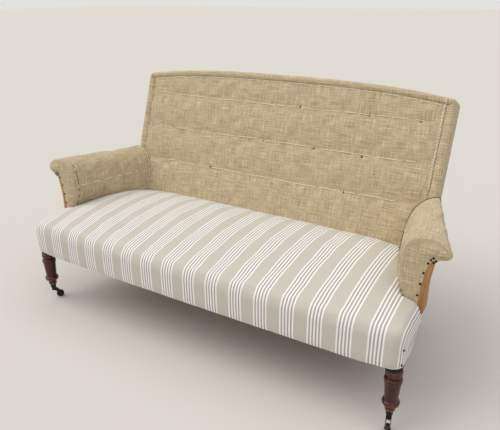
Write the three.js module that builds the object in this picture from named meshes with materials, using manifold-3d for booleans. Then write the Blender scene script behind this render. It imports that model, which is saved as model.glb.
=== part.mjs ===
// Sprung sofa with rolled arms, in millimetres.
// X runs along the sofa, Y from its front to its back and Z up. The origin is on the floor, under the
// middle of the sofa. A jointed frame carries webbing, springs and canvas, then stuffing, then cloth.

import * as THREE from "three";
import { mergeVertices } from "three/addons/utils/BufferGeometryUtils.js";
import Module from "manifold-3d";

const wasm = await Module();
wasm.setup();

// Overall sizes
const overallDepth = 840; // front of the seat to the top of the back
const backHeight = 974; // floor to the top edge of the back, in the middle
const backWidth = 1478; // over the two side borders of the back
const backDrop = 39; // fall of the arched top edge from its middle to its ends
const rakeDegrees = 19.65; // lean of the back
const seatLine = 390; // height where the seat meets the back
const seatWidth = 1640; // over the cover at its front corners
const armSpan = 1768; // over the two arm rolls
const armGap = 1456; // between the arms at their front
const armGapBack = 1250; // between the arms at the back

// Clearances and cloth
const fit = 0.3; // gap between pieces that touch
const runningFit = 0.3; // radial clearance of a castor's pins
const cloth = 1.5; // hessian and ticking
const overrun = 60; // how far a cutting shape runs past what it cuts

// Seat frame
const railBottom = 252;
const railHeight = 86;
const railThickness = 28;
const railSetback = 3; // rails lie this far inside the faces of the legs
const blockSide = 48; // square top of a front leg
const blockDrop = 16; // how far that square shows below the rail
const blockCorner = 14;
const frontFullness = 21; // stuffing and cover in front of the leg's square
const sideFullness = 6; // the same beside it
const tenonThickness = 12;
const tenonHeight = 50;
const tenonLength = 20;
const braceLength = 76; // along the rails, from the corner of the leg
const braceHeight = 38;
const braceLift = 10; // braces sit this far above the bottom of the rails

// Front legs and castors
const legWidth = 58; // largest diameter of the turning
const toeHeight = 58; // underside of the wood
const toeDiameter = 19;
const toeLength = 8.5;
const legSides = 16;
const pinSides = 12;
const wheelDiameter = 33;
const wheelWidth = 12;
const wheelSides = 20;
const wheelRecess = 1.6;
const axleDiameter = 5;
const axleHead = 7.4;
const axleHeadThickness = 1.2;
const castorTrail = 25;
const cheekThickness = 2.6;
const cheekGap = 0.5; // between the wheel and a cheek
const hornDiameter = 17;
const hornHeight = 10.4;
const hornPlate = 4.6;
const pinDiameter = 8;
const pinHead = 11;
const pinHeadThickness = 2.8;
const cupWall = 1.7;
const cupBase = 5.7;
const cupHeight = 14;
const stemDiameter = 6;
const stemLength = 30;

// Back legs and back frame
const postWidth = 45;
const postDepth = 52;
const footSize = 32;
const footSetback = 174; // centre of a back foot, ahead of the rearmost point of the sofa
const footTaperShare = 0.3;
const backPadDepth = 30;
const backRailDepth = 28;
const crestDepth = 58; // height of the top rail at its ends
const lowerRailLift = 5;
const lowerRailHeight = 45;
const uprightWidth = 44;
const uprightSpacing = 470;
const postKneeLift = 20;

// Back upholstery
const backFoot = 24; // how far the back cloth runs below the seat line
const topBorder = 29;
const sideBorder = 38;
const borderRise = 4;
const seamDepth = 3;
const backCorner = 18;
const backEdge = 8;
const backFullness = 4;
const stitchDepth = 2.5;
const stitchRowSpacing = 160;
const firstStitchRow = 169;

// Arms
const armFrontY = 195; // the front of the arms lies this far behind the front of the seat
const stumpDepth = 42;
const armTop = 622; // top of the roll at the front
const armTopBack = 592; // top of the arm at the back
const armFoot = 345; // lower edge of the arm cloth
const armRailThickness = 28;
const armTopRailTop = 588;
const armTopRailFall = 28; // the top rail falls this much towards the back
const armTopRailHeight = 40;
const armLowerRailBottom = 352;
const armLowerRailHeight = 34;
const armTenonHeight = 20;
const armLean = 32; // the top rail stands this far outside the lower one at the front
const stumpWidth = 110; // inner edge to the tip of the scroll
const stumpInset = 12; // the tip of the scroll lies this far inside the roll
const stumpTenonWidth = 14;
const stumpTenonDepth = 26;
const stumpTenonLength = 30;
const armClothLap = 12; // lap of the lining and of the outside cloth on the top rail
const facingEdge = 5;

// Seat upholstery
const seatCrown = 42; // rise of the seat's middle above its edge
const seatEdge = 388; // height of the front top edge
const coverFoot = 246; // lower edge of the cover in the middle of the front
const coverLift = 8; // rise of that edge at the legs
const coverLiftLength = 140;
const sideHemLength = 120; // the lower edge of the cover runs level this far along a side
const sideHemRise = 94; // and then rises this much up to the arm
const seatBow = 6;
const seatCorner = 40;
const seatEdgeRadius = 22;
const webWidth = 50;
const webThickness = 1.7;
const webPitch = 100;
const springPitch = 200;
const springRowPitch = 176;
const springHeight = 118;
const springWidth = 94;
const springWaist = 58;
const springWire = 4;
const springTurns = 3;
const springsInRow = 7;
const springSteps = 6; // per turn
const lashingDiameter = 5;
const canvasRise = 42; // width of the slope from a rail up to the springs
const canvasLap = 2; // lap of the canvas on a rail
const backWebPitch = 125;
const backWebRows = 4;
const backWebEnd = 8; // lap of a back web on a post

// Places that follow from these sizes
const rake = THREE.MathUtils.degToRad(rakeDegrees);
const railTop = railBottom + railHeight;
const frontY = -overallDepth / 2;
const legX = seatWidth / 2 - sideFullness - blockSide / 2;
const legY = frontY + frontFullness + blockSide / 2;
const blockInnerX = legX - blockSide / 2;
const blockRearY = legY + blockSide / 2;
const frontRailFront = legY - blockSide / 2 + railSetback;
const frontRailRear = frontRailFront + railThickness;
const padFace = cloth + fit;
const webFace = padFace + backPadDepth + fit;
const frameFace = webFace + cloth + fit;
const frameRear = frameFace + backRailDepth;
const backThickness = frameRear + fit + cloth;
const backTopLength = (backHeight - seatLine) / Math.cos(rake);
const backY = overallDepth / 2 - (backHeight - seatLine) * Math.tan(rake) - backThickness * Math.cos(rake);
const planeY = (z) => backY + (z - seatLine) * Math.tan(rake);
const postOuter = backWidth / 2 - cloth - fit;
const postInner = postOuter - postWidth;
const postX = postOuter - postWidth / 2;
const postRearY = planeY(railTop) + frameRear / Math.cos(rake);
const postFrontY = postRearY - postDepth;
const backRailRear = postRearY - railSetback;
const backRailFront = backRailRear - railThickness;
const footY = overallDepth / 2 - footSetback;
const crestBottom = backTopLength - backDrop / Math.cos(rake) - crestDepth;
const lowerRailTop = lowerRailLift + lowerRailHeight;
const armY = frontY + armFrontY;
const stumpFront = armY + padFace;
const stumpRear = stumpFront + stumpDepth;
const sideRailOuterFront = legX + blockSide / 2 - railSetback;
const sideRailOuterBack = postOuter - railSetback;
const sideRailOuter = (y) => THREE.MathUtils.mapLinear(
  y, blockRearY, postFrontY, sideRailOuterFront, sideRailOuterBack);
const sideRailInner = (y) => sideRailOuter(y) - railThickness;
const lowerArmOuter = sideRailOuter(stumpRear) + railSetback;
const upperArmOuter = lowerArmOuter + armLean;

// Solids, joins and cuts

function solidOf(geometry) {
  const bare = geometry.clone();
  bare.deleteAttribute("normal");
  bare.deleteAttribute("uv");
  const merged = mergeVertices(bare);
  return new wasm.Manifold(new wasm.Mesh({
    numProp: 3,
    vertProperties: merged.attributes.position.array,
    triVerts: Uint32Array.from(merged.index.array),
  }));
}

function geometryOf(solid) {
  const mesh = solid.asOriginal().getMesh();
  const geometry = new THREE.BufferGeometry();
  geometry.setAttribute("position", new THREE.Float32BufferAttribute(mesh.vertProperties, 3));
  geometry.setIndex(Array.from(mesh.triVerts));
  return geometry;
}

function join(...pieces) {
  return geometryOf(pieces.map(solidOf).reduce((sum, piece) => sum.add(piece)));
}

function cut(piece, ...tools) {
  return geometryOf(tools.map(solidOf).reduce((rest, tool) => rest.subtract(tool), solidOf(piece)));
}

// The same piece on the other side of the sofa
function mirrored(geometry) {
  const copy = mergeVertices(stripped(geometry));
  copy.scale(-1, 1, 1);
  const index = Array.from(copy.index.array);
  for (let i = 0; i < index.length; i += 3) {
    [index[i], index[i + 1]] = [index[i + 1], index[i]];
  }
  copy.setIndex(index);
  return copy;
}

function stripped(geometry) {
  const bare = geometry.clone();
  bare.deleteAttribute("normal");
  bare.deleteAttribute("uv");
  return bare;
}

// A box between two corners
function block(x0, x1, y0, y1, z0, z1) {
  const box = new THREE.BoxGeometry(x1 - x0, y1 - y0, z1 - z0);
  return box.translate((x0 + x1) / 2, (y0 + y1) / 2, (z0 + z1) / 2);
}

const point = (x, y) => new THREE.Vector2(x, y);

function extruded(outline, depth) {
  return new THREE.ExtrudeGeometry(new THREE.Shape(outline), { depth, bevelEnabled: false });
}

// An outline in X and Z, made solid along Y
function extrudeY(outline, y0, y1) {
  const basis = new THREE.Matrix4().makeBasis(
    new THREE.Vector3(1, 0, 0), new THREE.Vector3(0, 0, 1), new THREE.Vector3(0, -1, 0));
  return extruded(outline, y1 - y0).applyMatrix4(basis).translate(0, y1, 0);
}

// An outline in Y and Z, made solid along X
function extrudeX(outline, x0, x1) {
  const basis = new THREE.Matrix4().makeBasis(
    new THREE.Vector3(0, 1, 0), new THREE.Vector3(0, 0, 1), new THREE.Vector3(1, 0, 0));
  return extruded(outline, x1 - x0).applyMatrix4(basis).translate(x0, 0, 0);
}

// An outline in X and Y, made solid along Z
function extrudeZ(outline, z0, z1) {
  return extruded(outline, z1 - z0).translate(0, 0, z0);
}

// An outline moved outward by a distance, or inward by a negative one
function grown(outline, distance) {
  const turn = Math.sign(THREE.ShapeUtils.area(outline));
  return outline.map((here, i) => {
    const before = outline[(i + outline.length - 1) % outline.length];
    const after = outline[(i + 1) % outline.length];
    const into = here.clone().sub(before).normalize();
    const out = after.clone().sub(here).normalize();
    const first = point(into.y, -into.x).multiplyScalar(turn);
    const second = point(out.y, -out.x).multiplyScalar(turn);
    const share = distance / (1 + first.dot(second));
    return here.clone().addScaledVector(first.add(second), share);
  });
}

// A closed solid through rings that have the same number of points, with flat ends
function loft(rings) {
  const count = rings[0].length;
  const positions = rings.flat().flatMap((p) => [p.x, p.y, p.z]);
  const index = [];
  for (let r = 0; r + 1 < rings.length; r++) {
    for (let i = 0; i < count; i++) {
      const a = r * count + i;
      const b = r * count + (i + 1) % count;
      index.push(a, b, b + count, a, b + count, a + count);
    }
  }
  addCap(index, rings[0], 0, -1);
  addCap(index, rings[rings.length - 1], (rings.length - 1) * count, 1);
  const geometry = new THREE.BufferGeometry();
  geometry.setAttribute("position", new THREE.Float32BufferAttribute(positions, 3));
  geometry.setIndex(signedVolume(positions, index) < 0 ? index.reverse() : index);
  return geometry;
}

const bendShare = 0.00001;

function addCap(index, ring, start, direction) {
  const facing = ring.reduce((sum, p, i) => sum.add(p.clone().cross(ring[(i + 1) % ring.length])),
    new THREE.Vector3());
  const across = ["x", "y", "z"].reduce(
    (best, axis) => (Math.abs(facing[axis]) > Math.abs(facing[best]) ? axis : best), "x");
  const axes = ["x", "y", "z"].filter((axis) => axis !== across);
  const middle = ring.reduce((sum, p) => sum.add(p), new THREE.Vector3()).divideScalar(ring.length);
  const centre = point(middle[axes[0]], middle[axes[1]]);
  // Points in one straight line are bent a little off it, so that each stays a corner of some face
  const flat = ring.map((p, i) => point(p[axes[0]], p[axes[1]])
    .sub(centre).multiplyScalar(1 + (i % 2 ? bendShare : -bendShare)));
  const faces = THREE.ShapeUtils.triangulateShape(flat, []);
  const area = faces.reduce((sum, face) => sum + THREE.ShapeUtils.area(face.map((i) => flat[i])), 0);
  const agrees = area * THREE.ShapeUtils.area(flat) * direction > 0;
  for (const face of faces) {
    index.push(...(agrees ? face : face.reverse()).map((i) => start + i));
  }
}

function signedVolume(positions, index) {
  const at = (i) => new THREE.Vector3().fromArray(positions, index[i] * 3);
  let sum = 0;
  for (let i = 0; i < index.length; i += 3) {
    sum += at(i).dot(at(i + 1).cross(at(i + 2)));
  }
  return sum;
}

// A ring in a plane across Y: the points hold x and z
const acrossY = (outline, y) => outline.map((p) => new THREE.Vector3(p.x, y, p.y));

// A ring that leans with the back: the points hold x and z
const acrossBack = (outline, behind) => outline.map(
  (p) => new THREE.Vector3(p.x, planeY(p.y) + behind, p.y));

const rectangle = (x0, x1, z0, z1) => [point(x0, z0), point(x1, z0), point(x1, z1), point(x0, z1)];

// How far a rounded edge falls back at a distance from the face it runs into
function rounding(distance, radius) {
  const rest = Math.max(radius - distance, 0);
  return radius - Math.sqrt(radius * radius - rest * rest);
}

// Materials

const finishes = {
  beech: { color: 0xa9743f, roughness: 0.7 },
  mahogany: { color: 0x4a2a1c, roughness: 0.4 },
  hessian: { color: 0xb8a67f, roughness: 1 },
  ticking: { color: 0xdcd6c8, roughness: 0.95 },
  stuffing: { color: 0x6b5138, roughness: 1 },
  jute: { color: 0x9c8458, roughness: 1 },
  steel: { color: 0x7c6a55, roughness: 0.5, metalness: 0.9 },
  iron: { color: 0x2b2926, roughness: 0.55, metalness: 0.8 },
};

const sofa = new THREE.Group();

function add(name, finish, geometry, parent = sofa) {
  const mesh = new THREE.Mesh(geometry, new THREE.MeshStandardMaterial(finishes[finish]));
  mesh.name = name;
  parent.add(mesh);
  return mesh;
}

function addPair(name, finish, geometry, parent = sofa) {
  add(`${name}_right`, finish, geometry, parent);
  add(`${name}_left`, finish, mirrored(geometry), parent);
}

// The back leans in a frame of its own: Y goes into the back and Z up its slope from the seat line
const back = new THREE.Group();
back.position.set(0, backY, seatLine);
back.rotation.x = -rake;
back.updateMatrixWorld();
sofa.add(back);
const worldToBack = back.matrixWorld.clone().invert();
const inBack = (geometry) => geometry.clone().applyMatrix4(worldToBack);
const outOfBack = (geometry) => geometry.clone().applyMatrix4(back.matrixWorld);

function backPoint(y, z) {
  const place = new THREE.Vector3(0, y, z).applyMatrix4(worldToBack);
  return point(place.y, place.z);
}

// Back upholstery

// Length of the back along its slope at a place along the sofa
function backTop(x, inset) {
  const half = backWidth / 2;
  const drop = backDrop * Math.abs(x / half) ** 3 / Math.cos(rake);
  return backTopLength - drop - inset - rounding(half - inset - Math.abs(x), backCorner);
}

// Depth of the front surface, from the seam, the border roll and the rows of stitches
function backSurface(x, s, inset) {
  const half = backWidth / 2 - inset;
  const top = backTop(x, inset);
  const share = Math.min((half - Math.abs(x)) / sideBorder, (top - s) / topBorder);
  if (share < 1) {
    const edge = backEdge * (1 - share) ** 4;
    return edge + seamDepth * share ** 8 - borderRise * Math.sin(Math.PI * share);
  }
  const rowPhase = (s - firstStitchRow) / stitchRowSpacing;
  const lastRowPhase = 2;
  const onRow = Math.min(Math.max(rowPhase, 0), lastRowPhase) - rowPhase === 0;
  const swell = onRow ? Math.sin(Math.PI * rowPhase) ** 2 : 1;
  const away = Math.min(1, share - 1);
  return seamDepth * (1 - away) ** 3 + away * (stitchDepth - (backFullness + stitchDepth) * swell);
}

function backStations(inset) {
  const half = backWidth / 2 - inset;
  const fromSide = [0, backCorner * 0.35, backCorner, sideBorder, sideBorder * 1.5, half * 0.3, half * 0.62];
  const right = fromSide.map((distance) => half - distance);
  return [...right.map((x) => -x), 0, ...right.reverse()];
}

// The back as one solid, its front surface set in by the inset
function backSolid(inset, rear, foot) {
  const rows = [0, 1, 2].map((row) => firstStitchRow + row * stitchRowSpacing);
  const between = rows.map((row) => row - stitchRowSpacing / 2);
  const levels = [...between, ...rows].sort((a, b) => a - b);
  const fromTop = [topBorder * 1.45, topBorder, topBorder * 0.5, topBorder * 0.16, 0];
  return loft(backStations(inset).map((x) => {
    const top = backTop(x, inset);
    const heights = [-foot, ...levels, ...fromTop.map((distance) => top - distance)];
    const front = heights.map((s) => new THREE.Vector3(x, backSurface(x, s, inset) + inset, s));
    return [...front, new THREE.Vector3(x, rear, top), new THREE.Vector3(x, rear, -foot)];
  }));
}

// Everything behind the front surface of the back, for cutting what meets it
const backRoom = outOfBack(backSolid(-fit, backThickness, backFoot + fit));
const behindPlane = (low) => outOfBack(block(-armSpan, armSpan, -fit, backHeight, low, backHeight));
const behindBack = join(behindPlane(-seatLine), backRoom);

// Back legs, which run up as the posts of the back

function postOutline() {
  const toe = toeHeight + toeLength;
  const frontCurve = new THREE.QuadraticBezierCurve(
    backPoint(postFrontY, railBottom),
    backPoint(postFrontY, (railBottom + toe) / 2),
    backPoint(footY - footSize / 2, toe));
  const rearCurve = new THREE.QuadraticBezierCurve(
    backPoint(footY + footSize / 2, toe),
    backPoint(postRearY, (railBottom + toe) / 2),
    backPoint(postRearY, railBottom));
  return [
    point(frameFace, crestBottom - fit),
    point(frameFace, postKneeLift),
    backPoint(postFrontY, railTop),
    ...frontCurve.getPoints(4),
    ...rearCurve.getPoints(4),
    backPoint(postRearY, railTop),
    point(frameRear, crestBottom - fit),
  ];
}

function backLeg() {
  const body = extrudeX(postOutline(), postInner, postOuter);
  const corner = new THREE.Vector3();
  const place = body.attributes.position;
  for (let i = 0; i < place.count; i++) {
    corner.fromBufferAttribute(place, i).applyMatrix4(back.matrixWorld);
    const share = THREE.MathUtils.clamp((railBottom - corner.z) / (railBottom - toeHeight), 0, 1);
    place.setX(i, postX + (corner.x - postX) * (1 - footTaperShare * share));
  }
  const topTenon = block(postX - postWidth / 4, postX + postWidth / 4, tenonFace, tenonFace + tenonThickness,
    crestBottom - postWidth, crestBottom + tenonLength);
  const toe = new THREE.CylinderGeometry(toeDiameter / 2, toeDiameter / 2, toeLength + cupBase, legSides)
    .rotateX(Math.PI / 2)
    .translate(postX, footY, toeHeight + (toeLength + cupBase) / 2);
  return join(body, topTenon, inBack(toe));
}

const tenonFace = frameFace + (backRailDepth - tenonThickness) / 2;
const postTool = outOfBack(extrudeX(grown(postOutline(), fit), postInner - fit, postOuter + fit));

// A cylinder that stands on the floor's normal
function upright(diameter, z0, z1, x, y, sides = legSides) {
  return new THREE.CylinderGeometry(diameter / 2, diameter / 2, z1 - z0, sides)
    .rotateX(Math.PI / 2)
    .translate(x, y, (z0 + z1) / 2);
}

const stemBore = (x, y) => upright(
  stemDiameter + 2 * fit, toeHeight - overrun, toeHeight + stemLength + fit, x, y);

// Seat rails, with a tenon at each end

function tenonBox(x0, x1, y0, y1, grow) {
  const middle = railBottom + railHeight / 2;
  return block(x0 - grow, x1 + grow, y0 - grow, y1 + grow,
    middle - tenonHeight / 2 - grow, middle + tenonHeight / 2 + grow);
}

const frontTenon = (grow) => tenonBox(
  blockInnerX - tenonLength, blockInnerX + tenonLength,
  frontRailFront + (railThickness - tenonThickness) / 2,
  frontRailFront + (railThickness + tenonThickness) / 2, grow);
const rearTenon = (grow) => tenonBox(
  postInner - tenonLength, postInner + tenonLength,
  backRailFront + (railThickness - tenonThickness) / 2,
  backRailFront + (railThickness + tenonThickness) / 2, grow);
const sideFrontTenon = (grow) => tenonBox(
  sideRailOuterFront - (railThickness + tenonThickness) / 2,
  sideRailOuterFront - (railThickness - tenonThickness) / 2,
  blockRearY - tenonLength, blockRearY + tenonLength, grow);
const sideRearTenon = (grow) => tenonBox(
  sideRailOuterBack - (railThickness + tenonThickness) / 2,
  sideRailOuterBack - (railThickness - tenonThickness) / 2,
  postFrontY - tenonLength, postFrontY + tenonLength, grow);

const longRail = (reach, y0, y1) => block(-reach, reach, y0, y1, railBottom, railTop);
const frontRail = join(
  longRail(blockInnerX - fit, frontRailFront, frontRailRear), frontTenon(0), mirrored(frontTenon(0)));
const backRail = join(
  longRail(postInner - fit, backRailFront, backRailRear), rearTenon(0), mirrored(rearTenon(0)));

const stumpX = sideRailOuter((stumpFront + stumpRear) / 2) - railThickness / 2;
const stumpTenon = (grow) => block(
  stumpX - stumpTenonWidth / 2 - grow, stumpX + stumpTenonWidth / 2 + grow,
  (stumpFront + stumpRear - stumpTenonDepth) / 2 - grow,
  (stumpFront + stumpRear + stumpTenonDepth) / 2 + grow,
  railTop - stumpTenonLength - grow, railTop + overrun);

function sideRail() {
  const y0 = blockRearY + fit;
  const y1 = postFrontY - fit;
  const plan = [
    point(sideRailInner(y0), y0), point(sideRailOuter(y0), y0),
    point(sideRailOuter(y1), y1), point(sideRailInner(y1), y1)];
  const body = extrudeZ(plan, railBottom, railTop);
  return cut(join(body, sideFrontTenon(0), sideRearTenon(0)), stumpTenon(fit));
}

// Triangular braces glued in the corners of the seat frame
function brace(plan) {
  return extrudeZ(plan, railBottom + braceLift, railBottom + braceLift + braceHeight);
}

function frontBrace() {
  const rear = blockRearY + braceLength;
  return brace([
    point(blockInnerX - braceLength, frontRailRear + fit),
    point(blockInnerX - fit, frontRailRear + fit),
    point(blockInnerX - fit, blockRearY + fit),
    point(sideRailInner(blockRearY) - fit, blockRearY + fit),
    point(sideRailInner(rear) - fit, rear)]);
}

function rearBrace() {
  const front = postFrontY - braceLength;
  return brace([
    point(postInner - braceLength, backRailFront - fit),
    point(postInner - fit, backRailFront - fit),
    point(postInner - fit, postFrontY - fit),
    point(sideRailInner(postFrontY) - fit, postFrontY - fit),
    point(sideRailInner(front) - fit, front)]);
}

// Front legs: a turning under a square that takes the rails.
// Each pair is the share of the largest radius and the share of the turned height.
const legProfileShares = [
  [0.33, 0.045], [0.45, 0.06], [0.58, 0.1], [0.6, 0.14], [0.52, 0.19], [0.62, 0.215], [0.9, 0.232],
  [0.97, 0.265], [0.97, 0.315], [0.88, 0.35], [0.78, 0.38], [0.8, 0.46], [0.88, 0.58], [0.92, 0.7],
  [1, 0.73], [1, 0.8], [0.86, 0.835], [0.83, 0.87], [0.93, 0.9], [0.93, 0.965], [0.8, 0.985]];

function frontLeg() {
  const turningTop = railBottom - blockDrop;
  const height = turningTop - toeHeight;
  const turning = legProfileShares.map(
    ([radius, up]) => point(radius * legWidth / 2, toeHeight + up * height));
  const neck = turning[turning.length - 1].x;
  const profile = [
    point(0, toeHeight), point(toeDiameter / 2, toeHeight), ...turning,
    point(neck, turningTop + blockDrop), point(0, turningTop + blockDrop)];
  const post = new THREE.LatheGeometry(profile, legSides).rotateX(Math.PI / 2).translate(legX, legY, 0);
  const side = blockSide / 2;
  const inner = side - blockCorner;
  const square = [
    point(-side, -side), point(inner, -side), point(side, -inner), point(side, side), point(-side, side)];
  const head = extrudeZ(square, turningTop, railTop).translate(legX, legY, 0);
  return cut(join(post, head), frontTenon(fit), sideFrontTenon(fit), stemBore(legX, legY));
}

// Castors: a cup on the toe, a horn that swivels under it, and a wheel on an axle

const axleHeight = wheelDiameter / 2 * Math.cos(Math.PI / wheelSides);
const cupBottom = toeHeight - cupBase - fit;
const hornTop = cupBottom - fit;
const hornBottom = hornTop - hornHeight;
const hornWidth = wheelWidth + 2 * (cheekGap + cheekThickness);

function castorCup() {
  const rim = cupBottom + cupHeight;
  const inner = toeDiameter / 2 + fit;
  const seat = toeHeight - fit;
  const head = hornBottom - fit;
  return new THREE.LatheGeometry([
    point(0, head - pinHeadThickness), point(pinHead / 2, head - pinHeadThickness),
    point(pinHead / 2, head), point(pinDiameter / 2, head), point(pinDiameter / 2, cupBottom),
    point(inner + cupWall, cupBottom), point(inner + cupWall, rim), point(inner, rim), point(inner, seat),
    point(stemDiameter / 2, seat), point(stemDiameter / 2, toeHeight + stemLength - stemDiameter / 2),
    point(0, toeHeight + stemLength)], legSides).rotateX(Math.PI / 2);
}

function castorHorn() {
  const hub = upright(hornDiameter, hornBottom, hornTop, 0, 0);
  const plateTop = hornBottom + hornPlate;
  const eye = axleHeadThickness + axleHead / 2;
  const fork = new THREE.Shape([
    point(-hornDiameter / 2, hornBottom), point(-hornDiameter / 2, plateTop),
    point(castorTrail / 2, plateTop), point(castorTrail + eye, axleHeight + eye)]);
  fork.absarc(castorTrail, axleHeight, eye, 0, -Math.PI, true);
  fork.lineTo(castorTrail - eye, axleHeight + eye);
  const sides = extrudeY(fork.getPoints(4), -hornWidth / 2, hornWidth / 2);
  const gap = block(-hornDiameter, castorTrail + wheelDiameter,
    -wheelWidth / 2 - cheekGap, wheelWidth / 2 + cheekGap, -overrun, hornBottom);
  const bore = upright(pinDiameter + 2 * runningFit, -overrun, hornTop + overrun, 0, 0, pinSides);
  return cut(join(cut(sides, gap), hub), bore, axleBore(castorTrail));
}

const axleBore = (x) => new THREE.CylinderGeometry(
  axleDiameter / 2 + runningFit, axleDiameter / 2 + runningFit, hornWidth + overrun, pinSides)
  .translate(x, 0, axleHeight);

function castorAxle() {
  const reach = hornWidth / 2 + fit;
  const end = reach + axleHeadThickness;
  return new THREE.LatheGeometry([
    point(0, -end), point(axleHead / 2, -end), point(axleHead / 2, -reach), point(axleDiameter / 2, -reach),
    point(axleDiameter / 2, reach), point(axleHead / 2, reach), point(axleHead / 2, end), point(0, end)],
  pinSides);
}

// A wheel with a flat of its tread on the floor
function castorWheel() {
  const half = wheelWidth / 2;
  const tread = wheelDiameter / 2;
  const bore = axleDiameter / 2 + runningFit;
  const boss = axleHead / 2 + cheekGap;
  const rim = tread - wheelRecess * 2;
  const web = half - wheelRecess;
  const profile = [
    point(bore, -half), point(boss, -half), point(boss + wheelRecess, -web), point(rim, -web),
    point(rim + wheelRecess, -half), point(tread, -web), point(tread, web),
    point(rim + wheelRecess, half), point(rim, web), point(boss + wheelRecess, web), point(boss, half),
    point(bore, half)];
  profile.push(profile[0].clone());
  return new THREE.LatheGeometry(profile, wheelSides).rotateY(Math.PI / wheelSides);
}

// Arms. Each pair is the share of the arm's width, from its inner face to the tip of its roll, and the
// share of its height, from its foot to its top, going up the inner face and over the roll.
const armFrontShares = [
  [0.185, 0], [0.165, 0.235], [0.055, 0.38], [0, 0.578], [0.02, 0.758], [0.09, 0.885], [0.235, 0.964],
  [0.46, 1], [0.71, 0.989], [0.89, 0.942], [0.985, 0.877], [1, 0.812], [0.92, 0.765], [0.78, 0.752],
  [0.6, 0.748], [0.555, 0.56], [0.54, 0.343], [0.555, 0]];
const armBackShares = [
  [0, 0], [0.01, 0.19], [0.05, 0.385], [0.105, 0.567], [0.2, 0.709], [0.342, 0.822], [0.518, 0.903],
  [0.71, 0.96], [0.85, 0.988], [0.93, 1], [0.98, 0.985], [1, 0.95], [1, 0.91], [1, 0.87],
  [1, 0.83], [1, 0.63], [1, 0.38], [1, 0]];

function armSection(shares, inner, outer, top) {
  return shares.map(([across, up]) => point(
    THREE.MathUtils.lerp(inner, outer, across), THREE.MathUtils.lerp(armFoot, top, up)));
}

const armFrontSection = armSection(armFrontShares, armGap / 2, armSpan / 2, armTop);
const armBackSection = armSection(armBackShares, armGapBack / 2, backWidth / 2, armTopBack);

// Sections of the arm, from its front to just behind the face of the back
const armStations = [0, 0.006, 0.02, 0.33, 0.66, 1];
const armEdgeShares = [1, 0.3, 0, 0, 0, 0];

function armRings() {
  const front = acrossY(armFrontSection, armY);
  const rear = acrossBack(armBackSection, railThickness);
  return armStations.map((share) => front.map((p, i) => p.clone().lerp(rear[i], share)));
}

// The arm as one solid, set in by the inset
function armSolid(inset) {
  const rings = armRings().map((ring, station) => {
    const outline = grown(
      ring.map((p) => point(p.x, p.z)), -inset - facingEdge * armEdgeShares[station]);
    return ring.map((p, i) => new THREE.Vector3(outline[i].x, p.y, outline[i].y));
  });
  rings[0].forEach((p) => p.setY(armY + inset));
  return loft(rings);
}

// The space that an arm takes from the seat, out past its outer face
function armRoom() {
  const low = armFoot - railHeight * 2;
  const facePoints = 6;
  const rings = armRings().map((ring) => {
    const faces = ring.slice(0, facePoints).map((p) => new THREE.Vector3(p.x - fit, p.y, p.z));
    const first = faces[0];
    const last = faces[facePoints - 1];
    return [
      new THREE.Vector3(first.x, first.y, low), ...faces,
      new THREE.Vector3(armSpan, last.y, armTop), new THREE.Vector3(armSpan, first.y, low)];
  });
  rings[0].forEach((p) => p.setY(armY - fit));
  return loft(rings);
}

const armTopRailBack = armTopRailTop - armTopRailFall;
const armLowerRailTop = armLowerRailBottom + armLowerRailHeight;

// Bars of an arm: a section at the stump and one inside the back leg
const barRear = (top, height) => planeY(top - height / 2) + frameFace / Math.cos(rake) + postDepth / 3;

function armBar(outerFront, topFront, topBack, height, tenon, grow) {
  const thin = tenon ? (armRailThickness - tenonThickness) / 2 : 0;
  const low = tenon ? (height - armTenonHeight) / 2 : 0;
  const outline = (outer, top) => grown(rectangle(
    outer - armRailThickness + thin, outer - thin, top - height + low, top - low), grow);
  return loft([
    acrossY(outline(outerFront, topFront), stumpRear + (tenon ? -tenonLength - grow : fit)),
    acrossY(outline(sideRailOuterBack, topBack), barRear(topBack, height) + (tenon ? grow : 0))]);
}
const topBar = (tenon, grow) => armBar(
  upperArmOuter, armTopRailTop, armTopRailBack, armTopRailHeight, tenon, grow);
const lowerBar = (tenon, grow) => armBar(
  lowerArmOuter, armLowerRailTop, armLowerRailTop, armLowerRailHeight, tenon, grow);
const armRail = (bar) => join(cut(bar(false, 0), postTool), bar(true, 0));
const stumpBlock = block(0, armSpan, -overallDepth, stumpRear, 0, backHeight);
const railRoom = (bar) => cut(bar(false, fit), stumpBlock);

// The stump: a board cut to the scroll of the arm. Each pair is the share of its width, from its inner
// edge to the tip, and the share of its height, from the rail to the top of the scroll.
const stumpShares = [
  [0, 0], [0.005, 0.23], [0.03, 0.5], [0.08, 0.78], [0.14, 0.92], [0.325, 0.985], [0.615, 1], [0.884, 0.96],
  [0.971, 0.905], [0.923, 0.875], [0.807, 0.855], [0.711, 0.81], [0.663, 0.73], [0.629, 0.6], [0.605, 0.48],
  [0.6, 0.37], [0.615, 0.24], [0.624, 0.17], [0.518, 0.08], [0.287, 0]];

function stumpOutline() {
  const tip = armSpan / 2 - stumpInset;
  const bottom = railTop + fit;
  const top = armTop - stumpInset * 2;
  return stumpShares.map(([across, up]) => point(
    THREE.MathUtils.lerp(tip - stumpWidth, tip, across), THREE.MathUtils.lerp(bottom, top, up)));
}

function armStump() {
  const board = extrudeY(stumpOutline(), stumpFront, stumpRear);
  return cut(join(board, stumpTenon(0)), topBar(true, fit), lowerBar(true, fit));
}

const stumpRoom = () => join(
  extrudeY(grown(stumpOutline(), fit), stumpFront - fit / 2, stumpRear + fit),
  block(stumpX, armSpan, stumpFront - fit / 2, stumpRear + fit, railTop, armFoot + stumpTenonWidth));

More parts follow.
